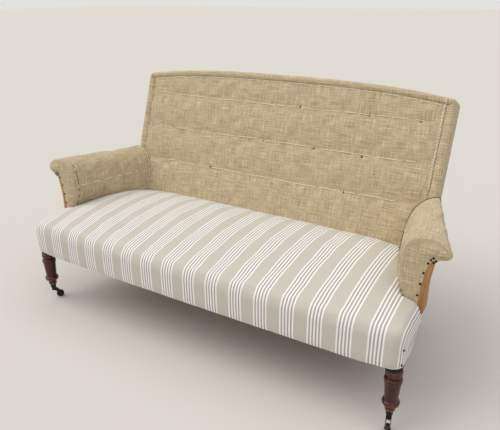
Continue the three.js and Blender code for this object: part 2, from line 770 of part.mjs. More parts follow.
// All that lies outside a line along the rails of an arm. The line is shifted from their outer faces. It
// runs from a foot up past the lower rail and laps the top rail.
function outsideLine(shift, foot, lap, firstY) {
  const ring = (lowerOuter, upperOuter, top, lowerY, upperY) => [
    new THREE.Vector3(lowerOuter + shift, lowerY, foot),
    new THREE.Vector3(lowerOuter + shift, lowerY, armLowerRailTop),
    new THREE.Vector3(upperOuter + shift, upperY, top - armTopRailHeight),
    new THREE.Vector3(upperOuter + shift, upperY, top - armTopRailHeight + lap),
    new THREE.Vector3(seatWidth, upperY, top - armTopRailHeight + lap),
    new THREE.Vector3(seatWidth, lowerY, foot)];
  return loft([
    ring(lowerArmOuter, upperArmOuter, armTopRailTop, firstY, firstY),
    ring(sideRailOuterBack, sideRailOuterBack, armTopRailBack,
      barRear(armLowerRailTop, armLowerRailHeight), barRear(armTopRailBack, armTopRailHeight))]);
}

// The hollow between the rails of an arm, open to the outside
const armHollow = () => outsideLine(-armRailThickness - cloth, armFoot - overrun, fit, stumpRear);

// Cloth along an arm, its thickness laid towards the outside
function armSheet(shift, foot, grow) {
  const firstY = stumpRear + fit - grow;
  return cut(
    outsideLine(shift - grow, foot - grow, armClothLap + grow, firstY),
    outsideLine(shift + cloth + grow, foot - overrun, armClothLap + overrun, firstY));
}

// Cloth nailed to the inner faces of the rails, and cloth over the outer ones
const armLining = (grow) => armSheet(-armRailThickness - cloth - fit, armFoot, grow);
const outsideArm = (grow) => armSheet(fit, railBottom, grow);

// Seat upholstery

// Rise of the seat above its edge. Each pair is a share of the depth and a share of the crown.
const crownShares = [
  [0.025, -0.22], [0.055, 0.06], [0.12, 0.28], [0.22, 0.52], [0.35, 0.78], [0.55, 1], [0.75, 0.97],
  [0.9, 0.76], [1, 0.45]];

// The front of the seat. Each pair is how far it falls back, as a share of the stuffing, and its height
// as a share of the face.
const seatFaceShares = [
  [0.15, 0], [0.05, 0.16], [0, 0.42], [0, 0.66], [0.08, 0.8], [0.3, 0.91]];

function coverHem(x) {
  const share = (Math.abs(x) - (seatWidth / 2 - coverLiftLength)) / coverLiftLength;
  return coverFoot + coverLift * THREE.MathUtils.clamp(share, 0, 1);
}

function seatSection(x, inset, foot) {
  const half = seatWidth / 2 - inset;
  const fromSide = half - Math.abs(x);
  const corner = rounding(fromSide, seatCorner) + seatBow * (x / half) ** 2;
  const drop = rounding(fromSide, seatEdgeRadius);
  const front = frontY + inset + corner;
  const depth = backY - frontY - corner;
  const hem = coverHem(x);
  const crown = seatCrown * (1 - Math.abs(x / half) ** 12);
  const rear = backY + railThickness;
  const face = seatFaceShares.map(([back, up]) => point(
    front + back * frontFullness, THREE.MathUtils.lerp(hem, seatEdge - drop - inset, up)));
  const lean = (face[0].x - face[1].x) / (face[1].y - face[0].y);
  face[0] = point(face[0].x + lean * foot, hem - foot);
  const top = crownShares.map(([along, up]) => point(
    frontY + corner + along * depth, seatEdge - drop - inset + (up < 0 ? seatCrown : crown) * up));
  const last = top[top.length - 1].y;
  return [...face, ...top, point(rear, last), point(rear, hem - foot)];
}

function seatSolid(inset, foot) {
  const half = seatWidth / 2 - inset;
  const fromSide = [
    0, seatCorner * 0.06, seatCorner * 0.2, seatCorner * 0.5, seatCorner, seatCorner * 2.2,
    half * 0.28, half * 0.6];
  const right = fromSide.map((distance) => half - distance);
  const stations = [...right.map((x) => -x), 0, ...right.reverse()];
  return loft(stations.map((x) => seatSection(x, inset, foot).map(
    (p) => new THREE.Vector3(x, p.x, p.y))));
}

// What the cover leaves bare below its lower edge on both sides
const belowSideHem = () => extrudeX([
  point(frontY + sideHemLength, coverFoot - overrun), point(armY + overrun, coverFoot - overrun),
  point(armY + overrun, coverFoot + sideHemRise), point(armY, coverFoot + sideHemRise),
  point(frontY + sideHemLength, coverFoot)], -seatWidth, seatWidth);

// The spring canvas slopes up from the rails and lies flat over the springs
const springFoot = railBottom + fit;
const canvasFlat = springFoot + springHeight + lashingDiameter / 2 + fit;
const springRows = [-1, 0, 1].map((row) => (frontRailRear + backRailFront) / 2 + row * springRowPitch);
const canvasY = [
  frontRailRear - canvasLap, frontRailRear, blockRearY + fit, frontRailRear + canvasRise, ...springRows,
  backRailFront - canvasRise, postFrontY - fit, backRailFront, backRailFront + canvasLap];

function canvasHalf(y) {
  if (y <= blockRearY + fit) return blockInnerX - fit;
  return y >= postFrontY - fit ? postInner - fit : sideRailInner(y) + canvasLap;
}

// Everything below a height over the line of the canvas, out to a half width at each place
function canvasSolid(above, low, places, halfAt) {
  const z = railTop + fit + above;
  const springsHalf = springPitch * (springsInRow - 1) / 2 + springWidth / 2 + springWire;
  return loft(places.map((y) => {
    const half = halfAt(y);
    const inner = canvasHalf(y) - canvasLap;
    const share = Math.min((y - frontRailRear) / canvasRise, (backRailFront - y) / canvasRise);
    const raised = THREE.MathUtils.clamp(share, 0, 1);
    const flat = THREE.MathUtils.lerp(inner - canvasLap, springsHalf, raised);
    const top = z + raised * (canvasFlat - railTop - fit);
    const right = [point(flat, top), point(inner, z), point(half, z), point(half, low)];
    return acrossY([...right.map((p) => point(-p.x, p.y)).reverse(), ...right], y);
  }));
}

const springCanvas = () => cut(
  canvasSolid(cloth, railTop + fit, canvasY, canvasHalf),
  canvasSolid(0, railTop - railHeight, canvasY, (y) => canvasHalf(y) + canvasLap));

// The frame and what lies under the canvas, for cutting the stuffing
function underCanvas() {
  const legOuter = legX + blockSide / 2;
  return canvasSolid(
    cloth + fit, coverFoot - overrun, [legY - blockSide / 2 - fit, ...canvasY, postRearY],
    (y) => (y <= blockRearY + fit ? legOuter : Math.max(sideRailOuter(y), postOuter)) + fit);
}

// Webbing on the undersides of the rails, woven into one net
function seatWebbing() {
  const top = railBottom - fit;
  const count = springsInRow * 2 - 1;
  const strips = [];
  for (let i = 0; i < count; i++) {
    const x = (i - (count - 1) / 2) * webPitch;
    strips.push(block(x - webWidth / 2, x + webWidth / 2,
      frontRailFront + railSetback, backRailRear - railSetback, top - webThickness, top));
  }
  for (const y of springRows) {
    const reach = sideRailOuter(y) - railSetback * 3;
    strips.push(block(-reach, reach, y - webWidth / 2, y + webWidth / 2, top - webThickness, top));
  }
  return join(...strips);
}

// One spring: a waisted coil of wire
function springPoints(x, y) {
  const steps = springTurns * springSteps;
  const low = springFoot + springWire / 2;
  const high = springFoot + springHeight - springWire / 2;
  const points = [];
  for (let i = 0; i <= steps; i++) {
    const share = i / steps;
    const waist = Math.abs(2 * share - 1) ** 1.5;
    const radius = (springWaist + (springWidth - springWire - springWaist) * waist) / 2;
    const angle = 2 * Math.PI * i / springSteps;
    points.push(new THREE.Vector3(
      x + radius * Math.cos(angle), y + radius * Math.sin(angle), THREE.MathUtils.lerp(low, high, share)));
  }
  return points;
}

// A tube of a few sides through points, its rings held upright
function tube(points, diameter, sides) {
  return loft(points.map((p, i) => {
    const before = points[Math.max(i - 1, 0)];
    const after = points[Math.min(i + 1, points.length - 1)];
    const ahead = after.clone().sub(before).normalize();
    const up = new THREE.Vector3(0, 0, 1).addScaledVector(ahead, -ahead.z).normalize();
    const across = new THREE.Vector3().crossVectors(ahead, up);
    return Array.from({ length: sides }, (_, k) => {
      const angle = 2 * Math.PI * (k + 0.5) / sides;
      return p.clone()
        .addScaledVector(up, Math.cos(angle) * diameter / 2)
        .addScaledVector(across, Math.sin(angle) * diameter / 2);
    });
  }));
}

// A row of springs, held by the laid cord that is tied across their tops and nailed to the side rails
function springRow(y) {
  const middle = (springsInRow - 1) / 2;
  const springs = Array.from({ length: springsInRow }, (_, i) => tube(
    springPoints((i - middle) * springPitch, y), springWire, 4));
  const top = springFoot + springHeight - springWire / 2;
  const last = middle * springPitch + springWidth / 2;
  const rail = sideRailInner(y + lashingDiameter) - fit;
  const cord = tube([
    new THREE.Vector3(-rail, y, railTop - lashingDiameter), new THREE.Vector3(-last, y, top),
    new THREE.Vector3(last, y, top), new THREE.Vector3(rail, y, railTop - lashingDiameter)],
  lashingDiameter, 6);
  return join(cord, ...springs);
}

// Least distance between neighbouring turns of a spring, wire to wire
function leastTurnGap(points) {
  let least = Infinity;
  for (let i = 0; i + springSteps < points.length; i++) {
    least = Math.min(least, points[i].distanceTo(points[i + springSteps]) - springWire);
  }
  return least;
}

// Back frame pieces, in the frame of the back

function topRail() {
  const inset = cloth + 2 * fit;
  const arch = backStations(inset).map((x) => point(x, backTop(x, inset)));
  const outline = [
    point(arch[arch.length - 1].x, crestBottom), ...arch.reverse(), point(-postOuter, crestBottom)];
  const body = extrudeY(outline, frameFace, frameRear);
  const mortises = [postX, -postX, uprightSpacing / 2, -uprightSpacing / 2].map(
    (x) => endTenon(x, crestBottom - overrun, crestBottom + tenonLength, fit));
  return cut(body, ...mortises);
}

// A tenon at the end of a post or upright
function endTenon(x, s0, s1, grow) {
  const half = x === postX || x === -postX ? postWidth / 4 : uprightWidth / 4;
  return block(x - half - grow, x + half + grow, tenonFace - grow, tenonFace + tenonThickness + grow,
    s0 - grow, s1 + grow);
}

function lowerBackRail() {
  const body = block(-postInner + fit, postInner - fit, frameFace, frameRear, lowerRailLift, lowerRailTop);
  const mortises = [uprightSpacing / 2, -uprightSpacing / 2].map(
    (x) => endTenon(x, lowerRailTop - tenonLength, lowerRailTop + overrun, fit));
  return cut(join(body, lowerRailTenon(0), mirrored(lowerRailTenon(0))), ...mortises);
}

const lowerRailTenon = (grow) => block(
  postInner - overrun - grow, postInner + tenonLength + grow,
  tenonFace - grow, tenonFace + tenonThickness + grow,
  lowerRailLift + lowerRailHeight / 5 - grow, lowerRailTop - lowerRailHeight / 5 + grow);

function backUpright() {
  const x = uprightSpacing / 2;
  return join(
    block(x - uprightWidth / 2, x + uprightWidth / 2, frameFace, frameRear,
      lowerRailTop + fit, crestBottom - fit),
    endTenon(x, lowerRailTop - tenonLength + 2 * fit, crestBottom + tenonLength - 2 * fit, 0));
}

function backWebbing() {
  const strips = [];
  const low = lowerRailLift + railSetback;
  const high = crestBottom + crestDepth / 2;
  const count = Math.floor((2 * postInner - webWidth) / backWebPitch);
  for (let i = 0; i < count; i++) {
    const x = (i - (count - 1) / 2) * backWebPitch;
    strips.push(block(x - webWidth / 2, x + webWidth / 2, webFace, webFace + cloth, low, high));
  }
  const pitch = (crestBottom - lowerRailTop) / (backWebRows + 1);
  for (let row = 1; row <= backWebRows; row++) {
    const s = lowerRailTop + row * pitch;
    strips.push(block(-postInner - backWebEnd, postInner + backWebEnd, webFace, webFace + cloth,
      s - webWidth / 2, s + webWidth / 2));
  }
  return join(...strips);
}

// Cloth over the rear of the frame, bent where the posts turn upright
function outsideBack() {
  const knee = backPoint(postRearY + fit, railTop);
  const kneeOut = backPoint(postRearY + fit + cloth, railTop);
  const low = backPoint(postRearY + fit, railBottom);
  const lowOut = backPoint(postRearY + fit + cloth, railBottom);
  return loft(backStations(0).map((x) => [
    [frameRear + fit, backTop(x, 0)], [frameRear + fit, knee.y], [low.x, low.y],
    [lowOut.x, lowOut.y], [backThickness, kneeOut.y], [backThickness, backTop(x, 0)],
  ].map(([n, s]) => new THREE.Vector3(x, n, s))));
}

// Build the frame
add("front_seat_rail", "beech", frontRail);
add("back_seat_rail", "beech", backRail);
addPair("side_seat_rail", "beech", sideRail());
addPair("front_leg", "mahogany", frontLeg());
addPair("front_corner_brace", "beech", frontBrace());
addPair("rear_corner_brace", "beech", rearBrace());
addPair("back_leg", "mahogany", cut(
  backLeg(),
  ...[rearTenon(fit), sideRearTenon(fit), topBar(true, fit), lowerBar(true, fit), stemBore(postX, footY)]
    .map(inBack),
  lowerRailTenon(fit)), back);
add("back_top_rail", "beech", topRail(), back);
add("back_lower_rail", "beech", lowerBackRail(), back);
addPair("back_upright", "beech", backUpright(), back);
addPair("arm_stump", "beech", armStump());
addPair("arm_top_rail", "beech", armRail(topBar));
addPair("arm_lower_rail", "beech", armRail(lowerBar));

// Build the seat
add("seat_webbing", "jute", seatWebbing());
const rowNames = ["spring_row_front", "spring_row_middle", "spring_row_back"];
rowNames.forEach((name, row) => add(name, "steel", springRow(springRows[row])));
add("spring_canvas", "hessian", cut(springCanvas(), stumpRoom(), mirrored(stumpRoom())));
const rooms = [armRoom(), mirrored(armRoom()), behindBack, belowSideHem()];
add("seat_stuffing", "stuffing", cut(seatSolid(cloth + fit, 0), underCanvas(), ...rooms));
add("seat_cover", "ticking", cut(seatSolid(0, 0), seatSolid(cloth, overrun), ...rooms));

// Build the back
const armRails = [railRoom(topBar), railRoom(lowerBar)].map(inBack);
const bothArmRails = [...armRails, ...armRails.map(mirrored)];
add("back_webbing", "jute", backWebbing(), back);
const bothPosts = [inBack(postTool), mirrored(inBack(postTool))];
add("back_stuffing", "stuffing", cut(
  backSolid(padFace, padFace + backPadDepth, backFoot - padFace), ...bothArmRails, ...bothPosts), back);
add("back_scrim", "hessian", cut(
  backSolid(0, frameRear, backFoot), backSolid(cloth, frameRear + overrun, backFoot + overrun),
  ...bothArmRails), back);
add("outside_back_cloth", "hessian", outsideBack(), back);

// Build the arms
const canvasRoom = [underCanvas(), mirrored(underCanvas())];
const armTools = [
  armHollow(), armLining(fit), outsideArm(fit), railRoom(topBar), railRoom(lowerBar), stumpRoom(),
  ...canvasRoom, behindBack];
addPair("arm_lining", "hessian", cut(armLining(0), ...canvasRoom, behindBack));
addPair("arm_stuffing", "stuffing", cut(armSolid(padFace), ...armTools));
addPair("arm_scrim", "hessian", cut(armSolid(0), armSolid(cloth), ...armTools));
addPair("outside_arm_cloth", "hessian", cut(
  outsideArm(0), postTool, backRoom, behindPlane(-backFoot - fit)));

// Build the castors. Each has its foot and the direction in which its wheel trails.
const castors = [
  { name: "front_left", x: -legX, y: legY, trailDegrees: 53.6 },
  { name: "front_right", x: legX, y: legY, trailDegrees: -77.3 },
  { name: "back_left", x: -postX, y: footY, trailDegrees: 128 },
  { name: "back_right", x: postX, y: footY, trailDegrees: 152 },
];
for (const { name, x, y, trailDegrees } of castors) {
  const foot = new THREE.Group();
  foot.position.set(x, y, 0);
  foot.rotation.z = THREE.MathUtils.degToRad(trailDegrees);
  sofa.add(foot);
  add(`castor_cup_${name}`, "iron", castorCup(), foot);
  add(`castor_horn_${name}`, "iron", castorHorn(), foot);
  add(`castor_axle_${name}`, "iron", castorAxle(), foot).position.set(castorTrail, 0, axleHeight);
  add(`castor_wheel_${name}`, "iron", castorWheel(), foot).position.set(castorTrail, 0, axleHeight);
}

console.log(`least gap between the turns of a spring: ${leastTurnGap(springPoints(0, 0)).toFixed(1)} mm`);

export default sofa;
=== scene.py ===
"""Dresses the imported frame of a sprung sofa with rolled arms, part way through its upholstery.

Sizes are in millimetres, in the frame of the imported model: X runs along the sofa, Y from its front to
its back and Z up. Meshes are turned to metres as they are made.
"""

import logging
import math
import random
from dataclasses import dataclass
from enum import Enum
from typing import Any, Callable, Iterator, Sequence

import bmesh
import bpy
import numpy as np
from mathutils import Matrix, Vector


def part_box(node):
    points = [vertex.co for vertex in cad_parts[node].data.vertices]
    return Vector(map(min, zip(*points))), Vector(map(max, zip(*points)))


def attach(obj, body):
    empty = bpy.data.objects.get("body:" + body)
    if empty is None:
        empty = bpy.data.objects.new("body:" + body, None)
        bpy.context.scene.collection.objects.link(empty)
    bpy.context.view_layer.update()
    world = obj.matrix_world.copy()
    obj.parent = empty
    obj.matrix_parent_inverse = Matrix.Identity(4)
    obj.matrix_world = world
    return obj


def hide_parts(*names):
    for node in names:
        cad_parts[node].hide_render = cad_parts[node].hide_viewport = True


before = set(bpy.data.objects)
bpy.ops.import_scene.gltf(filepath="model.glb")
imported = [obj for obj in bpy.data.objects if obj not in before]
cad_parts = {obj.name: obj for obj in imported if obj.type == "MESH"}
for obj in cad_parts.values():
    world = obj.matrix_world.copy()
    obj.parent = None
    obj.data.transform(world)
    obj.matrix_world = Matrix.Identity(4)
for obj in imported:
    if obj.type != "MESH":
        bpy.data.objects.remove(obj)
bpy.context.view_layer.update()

MM = 0.001
FIT = 0.3
CLOTH = 1.5
# How far the stuffing lies inside the outer face of its cloth.
UNDER_CLOTH = 5.2
# A direction that no tube here runs along.
ASKEW = (0.31, 0.17, 0.93)
# Mesh attributes: the place on the flat cloth, and how rubbed each point is, which on the turned leg also
# carries painted highlight on the beads and painted shade in the grooves.
LAY = "lay"
RUBBING_AND_PAINTED_LIGHT = "wear"
log = logging.getLogger("sofa")

Array = np.ndarray
Piece = bpy.types.Object
Tree = bpy.types.NodeTree
Output = tuple[bpy.types.Node, Any]
Triple = tuple[float, float, float]
Pairs = tuple[tuple[float, float], ...]
Face = Sequence[int]
# Points and faces.
Shell = tuple[Array, list[Face]]
# Points and flat places, row by row.
Rows = Iterator[tuple[Array, Array]]


class Side(Enum):
    """The two ends of the sofa, as the sign of X."""

    LEFT = -1
    RIGHT = 1

    @property
    def word(self) -> str:
        """The word that ends a piece's name."""
        return self.name.lower()


# Numbers and curves


def unit(share: Array | float) -> Array | float:
    """Holds a share between 0 and 1."""
    return np.clip(share, 0, 1)


def eased(share: Array | float) -> Array | float:
    """Rises smoothly from 0 to 1 as the share does, and stays level beyond both."""
    held = unit(share)
    return held * held * (3 - 2 * held)


def hump(place: Array | float, centre: float | Array, width: float) -> Array | float:
    """A smooth hump of height 1 at its centre, which is down to 0.37 at its width."""
    return np.exp(-((place - centre) / width) ** 2)


def through(points: Sequence[Sequence[float]], steps: int) -> Array:
    """Draws a smooth open line through points.

    Args:
        points: The points, of any dimension.
        steps: The number of steps between two neighbours.

    Returns:
        The points of the line, the given ones among them.
    """
    given = np.asarray(points, float)
    padded = np.vstack([2 * given[0] - given[1], given, 2 * given[-1] - given[-2]])
    line = []
    for i in range(1, len(padded) - 2):
        before, start, end, after = padded[i - 1:i + 3]
        for t in np.arange(steps) / steps:
            line.append(0.5 * (
                2 * start + (end - before) * t
                + (2 * before - 5 * start + 4 * end - after) * t ** 2
                + (3 * start - before - 3 * end + after) * t ** 3))
    line.append(given[-1])
    return np.array(line)


def read_curve(pairs: Sequence[tuple[float, float]], at: Array) -> Array:
    """Reads a smooth curve of value over place.

    Args:
        pairs: Place and value of each known point, by rising place.
        at: The places to read.

    Returns:
        The values there.
    """
    places, values = np.array(pairs, float).T
    slopes = np.gradient(values, places)
    spot = np.clip(np.searchsorted(places, at) - 1, 0, len(places) - 2)
    span = places[spot + 1] - places[spot]
    t = unit((at - places[spot]) / span)
    return (
        (2 * t ** 3 - 3 * t ** 2 + 1) * values[spot] + (t ** 3 - 2 * t ** 2 + t) * span * slopes[spot]
        + (3 * t ** 2 - 2 * t ** 3) * values[spot + 1] + (t ** 3 - t ** 2) * span * slopes[spot + 1])


def spread(shares: Array, width: tuple[float, float], height: tuple[float, float]) -> Array:
    """Turns shares of a width and a height to places."""
    low, high = np.transpose([width, height])
    return low + shares * (high - low)


def grown(outline: Array, distance: float | Array) -> Array:
    """Moves an open outline to its right-hand side, seen along its run.

    Args:
        outline: The points, in two coordinates.
        distance: How far, one value or one for each point.

    Returns:
        The moved points.
    """
    run = np.gradient(outline, axis=0)
    run /= np.maximum(np.linalg.norm(run, axis=1, keepdims=True), 1e-9)
    return outline + np.stack([run[:, 1], -run[:, 0]], 1) * np.reshape(distance, (-1, 1))


def run_length(line: Array) -> Array:
    """Measures the length along a line from its start to each of its points."""
    return np.concatenate([[0], np.cumsum(np.linalg.norm(np.diff(line, axis=0), axis=1))])


def joined(*coordinates: Array | float) -> Array:
    """Joins coordinates, each a list or one value, to points."""
    return np.stack(np.broadcast_arrays(*coordinates), -1).astype(float)


def go_on(first: Array, *stretches: tuple[float, int]) -> Array:
    """Carries a list of places on, in even steps.

    Args:
        first: The places to start with.
        stretches: For each stretch its end, and the number of its places with both ends.

    Returns:
        All places.
    """
    places = list(first)
    for end, count in stretches:
        places += list(np.linspace(places[-1], end, count)[1:])
    return np.array(places)


def both_ways(half: Sequence[tuple[float, float]]) -> Array:
    """Carries a profile on as its mirror image, so that its second values end with the other sign."""
    one = np.array(half, float)
    return np.vstack([one, one[::-1] * (1, -1)])


def rough_wave(place: Array, pitch: float, seed: int) -> Array:
    """Gives a smooth random wave between about -1 and 1.

    Args:
        place: Places along it, in any shape.
        pitch: Length of its shortest wave.
        seed: Which of the waves.

    Returns:
        Its height at each place.
    """
    draw = random.Random(seed)
    total = np.zeros_like(np.asarray(place, float))
    for octave in (1, 2.3, 4.1):
        total = total + np.sin(
            2 * math.pi * (np.asarray(place) / (pitch * octave) + draw.random())) * draw.uniform(0.3, 0.5)
    return total


# Meshes


def new_piece(name: str, points: Array, faces: Sequence[Face],
              lay: Array | None = None, wear: Array | None = None) -> Piece:
    """Makes an object from points in millimetres.

    Args:
        name: Name of the piece.
        points: Its points, three coordinates each.
        faces: Its faces, as point numbers.
        lay: Place of each point on the flat cloth, in millimetres.
        wear: How rubbed each point is, up to 1 either way: above 0 it is lighter, as rubbing and painted
            highlight, below 0 darker, as dirt and painted shade.

    Returns:
        The object, in the scene.
    """
    mesh = bpy.data.meshes.new(name)
    mesh.from_pydata((np.asarray(points, float) * MM).tolist(), [], [tuple(map(int, f)) for f in faces])
    if lay is not None:
        flat = np.zeros((len(points), 3), np.float32)
        flat[:, :2] = np.asarray(lay) * MM
        mesh.attributes.new(LAY, "FLOAT_VECTOR", "POINT").data.foreach_set("vector", flat.ravel())
    if wear is not None:
        mesh.attributes.new(RUBBING_AND_PAINTED_LIGHT, "FLOAT", "POINT").data.foreach_set(
            "value", np.asarray(wear, np.float32).ravel())
    return place_object(name, mesh)


def place_object(name: str, data: bpy.types.ID) -> Piece:
    """Makes an object of a mesh, lamp or camera, and puts it in the scene."""
    made = bpy.data.objects.new(name, data)
    bpy.context.scene.collection.objects.link(made)
    return made


def grid_faces(rows: int, columns: int, start: int = 0, closed: bool = False) -> list[Face]:
    """Lists the faces of a grid of points.

    Args:
        rows: Number of rows.
        columns: Number of points in a row.
        start: Number of the first point.
        closed: Whether each row runs round to its first point.

    Returns:
        The faces.
    """
    faces = []
    for row in range(rows - 1):
        for column in range(columns if closed else columns - 1):
            a = start + row * columns + column
            b = start + row * columns + (column + 1) % columns
            faces.append((a, b, b + columns, a + columns))
    return faces


def apply_changes(piece: Piece) -> None:
    """Applies the modifiers of a piece.

    Args:
        piece: The piece.
    """
    bpy.context.view_layer.update()
    view = bpy.context.evaluated_depsgraph_get()
    mesh = bpy.data.meshes.new_from_object(
        piece.evaluated_get(view), preserve_all_data_layers=True, depsgraph=view)
    piece.modifiers.clear()
    piece.data = mesh


def face_outward(piece: Piece, towards: Sequence[float]) -> None:
    """Turns the faces of an open sheet so that on the whole they look towards a direction."""
    total = sum((face.normal * face.area for face in piece.data.polygons), Vector())
    if total.dot(Vector(towards)) < 0:
        piece.data.flip_normals()


def smooth(piece: Piece, degrees: float = 40) -> None:
    """Shades a piece smooth, with its edges sharp where they turn more than some degrees."""
    piece.data.shade_smooth()
    piece.data.set_sharp_from_angle(angle=math.radians(degrees))


def thicken(piece: Piece) -> None:
    """Gives a cloth its thickness, on its inner side.

    Args:
        piece: The cloth.
    """
    shell = piece.modifiers.new("thickness", "SOLIDIFY")
    shell.thickness = CLOTH * MM
    shell.offset = -1
    shell.use_even_offset = False
    apply_changes(piece)


def close_up(piece: Piece) -> None:
    """Merges doubled points and turns all faces of a closed piece outward.

    Args:
        piece: The piece.
    """
    work = bmesh.new()
    work.from_mesh(piece.data)
    bmesh.ops.remove_doubles(work, verts=work.verts, dist=1e-6)
    bmesh.ops.recalc_face_normals(work, faces=work.faces)
    work.to_mesh(piece.data)
    work.free()


def closed_rings(rings: Array) -> Shell:
    """Joins rings of points to a skin, and closes it at the first and the last.

    Args:
        rings: Points in rows, one row for each ring.

    Returns:
        Points and faces.
    """
    count, sides = rings.shape[:2]
    faces = grid_faces(count, sides, closed=True)
    faces.append(tuple(reversed(range(sides))))
    faces.append(tuple(range((count - 1) * sides, count * sides)))
    return rings.reshape(-1, 3), faces


def tube(line: Array, radius: float | Array, sides: int = 8) -> Shell:
    """Makes a closed tube along a line.

    Args:
        line: Its points.
        radius: Its radius, one value or one for each point.
        sides: Number of its sides.

    Returns:
        Points and faces.
    """
    run = np.gradient(line, axis=0)
    run /= np.linalg.norm(run, axis=1, keepdims=True)
    across = np.cross(run, ASKEW)
    across /= np.linalg.norm(across, axis=1, keepdims=True)
    other = np.cross(run, across)
    turn = np.arange(sides) * 2 * math.pi / sides
    reach = np.broadcast_to(radius, len(line))[:, None, None]
    return closed_rings(line[:, None] + reach * (
        across[:, None] * np.cos(turn)[:, None] + other[:, None] * np.sin(turn)[:, None]))


def gather(parts: Sequence[tuple[Array, Sequence[Face]]]) -> Shell:
    """Puts several sets of points and faces into one.

    Args:
        parts: Points and faces of each set.

    Returns:
        Points and faces of all.
    """
    points, faces, start = [], [], 0
    for part, part_faces in parts:
        points.append(part)
        faces.extend([[start + i for i in f] for f in part_faces])
        start += len(part)
    return np.vstack(points), faces


def lathe(profile: Array, centre: tuple[float, float], sides: int = 48) -> Shell:
    """Turns a profile about an upright axis.

    Args:
        profile: Radius and height of each point, from the bottom to the top.
        centre: X and Y of the axis.
        sides: Number of steps round it.

    Returns:
        Points and faces, closed at both ends.
    """
    turn = np.arange(sides) * 2 * math.pi / sides
    return closed_rings(joined(
        centre[0] + profile[:, :1] * np.cos(turn), centre[1] + profile[:, :1] * np.sin(turn),
        profile[:, 1:]))


# Finishes


def linear(code: str) -> tuple[float, float, float, float]:
    """Turns an sRGB hex value, such as b8a67f, to linear light with full opacity."""
    parts = [int(code[i:i + 2], 16) / 255 for i in (0, 2, 4)]
    red, green, blue = (p / 12.92 if p <= 0.04045 else ((p + 0.055) / 1.055) ** 2.4 for p in parts)
    return red, green, blue, 1.0


def add_node(tree: Tree, kind: str, settings: dict[Any, Any] | None = None,
             links: dict[Any, Output] | None = None) -> bpy.types.Node:
    """Adds a node to a tree.

    Args:
        tree: The node tree.
        kind: Type of the node, without the word ShaderNode.
        settings: Values by the name of a property, or by the name or number of an input. The stops of a
            colour ramp go under the word stops, as pairs of place and hex colour.
        links: For an input's name or number, the node and output that feed it.

    Returns:
        The node.
    """
    node = tree.nodes.new("ShaderNode" + kind)
    for key, value in (settings or {}).items():
        if key == "stops":
            stops = node.color_ramp.elements
            while len(stops) < len(value):
                stops.new(1)
            for stop, (place, code) in zip(stops, value):
                stop.position, stop.color = place, linear(code)
        elif isinstance(key, str) and hasattr(node, key):
            setattr(node, key, value)
        else:
            node.inputs[key].default_value = value
    for key, (source, output) in (links or {}).items():
        tree.links.new(source.outputs[output], node.inputs[key])
    return node


def math_node(tree: Tree, operation: str, *values: Any) -> Output:
    """Works out a number from numbers or node outputs.

    Args:
        tree: The node tree.
        operation: Blender's name of the operation.
        values: Numbers and node outputs that it works on.

    Returns:
        The output with the result.
    """
    fixed = {i: v for i, v in enumerate(values) if not isinstance(v, tuple)}
    wired = {i: v for i, v in enumerate(values) if isinstance(v, tuple)}
    return add_node(tree, "Math", {"operation": operation, **fixed}, wired), 0


@dataclass(frozen=True)
class Finish:
    """A finish of the real material. Relief is how strong its bumps are, and relief_depth how deep."""

    name: str
    roughness: float
    metallic: float = 0.0
    sheen: float = 0.0
    coat: float = 0.0
    coat_roughness: float = 0.3
    gloss: float = 0.5
    relief: float = 0.3
    relief_depth: float = 0.3
    on_cloth: bool = False

    def make(self) -> bpy.types.Material:
        """Makes the material, once for each finish."""
        found = bpy.data.materials.get(self.name)
        if found:
            return found
        material = bpy.data.materials.new(self.name)
        material.use_nodes = True
        tree = material.node_tree
        tree.nodes.clear()
        shader = add_node(tree, "BsdfPrincipled", {
            "Roughness": self.roughness, "Metallic": self.metallic, "Sheen Weight": self.sheen,
            "Coat Weight": self.coat, "Coat Roughness": self.coat_roughness,
            "Specular IOR Level": self.gloss})
        add_node(tree, "OutputMaterial", links={"Surface": (shader, "BSDF")})
        if self.on_cloth:
            place = (add_node(tree, "Attribute", {"attribute_name": LAY}), "Vector")
        else:
            place = (add_node(tree, "TexCoord"), "Object")
        feeds = self.draw(tree, place)
        bump = add_node(tree, "Bump", {"Strength": self.relief, "Distance": self.relief_depth * MM},
                        {"Height": feeds.pop("Height")})
        for name, (source, output) in {**feeds, "Normal": (bump, "Normal")}.items():
            tree.links.new(source.outputs[output], shader.inputs[name])
        return material

    def draw(self, tree: Tree, place: Output) -> dict[str, Output]:
        """Draws the pattern of this finish.

        Args:
            tree: The node tree.
            place: The output with the place on the piece, in metres.

        Returns:
            What feeds inputs of the shader, by their names, and the relief's height under Height.
        """
        raise NotImplementedError


def sized_noise(tree: Tree, source: Output, grain: Sequence[float], detail: float,
                distortion: float = 0.0) -> Output:
    """Adds noise whose grain has a real size.

    Args:
        tree: The node tree.
        source: The output with the place, in metres.
        grain: Size of the grain along each axis, in millimetres.
        detail: Octaves of the noise.
        distortion: How much the noise is bent by itself.

    Returns:
        The output with the noise, from 0 to 1.
    """
    scaled = add_node(tree, "VectorMath", {
        "operation": "MULTIPLY", 1: tuple(1 / (size * MM) for size in grain)}, {0: source})
    noise = add_node(tree, "TexNoise", {"Scale": 1.0, "Detail": detail, "Distortion": distortion},
                     {"Vector": (scaled, 0)})
    return noise, "Fac"


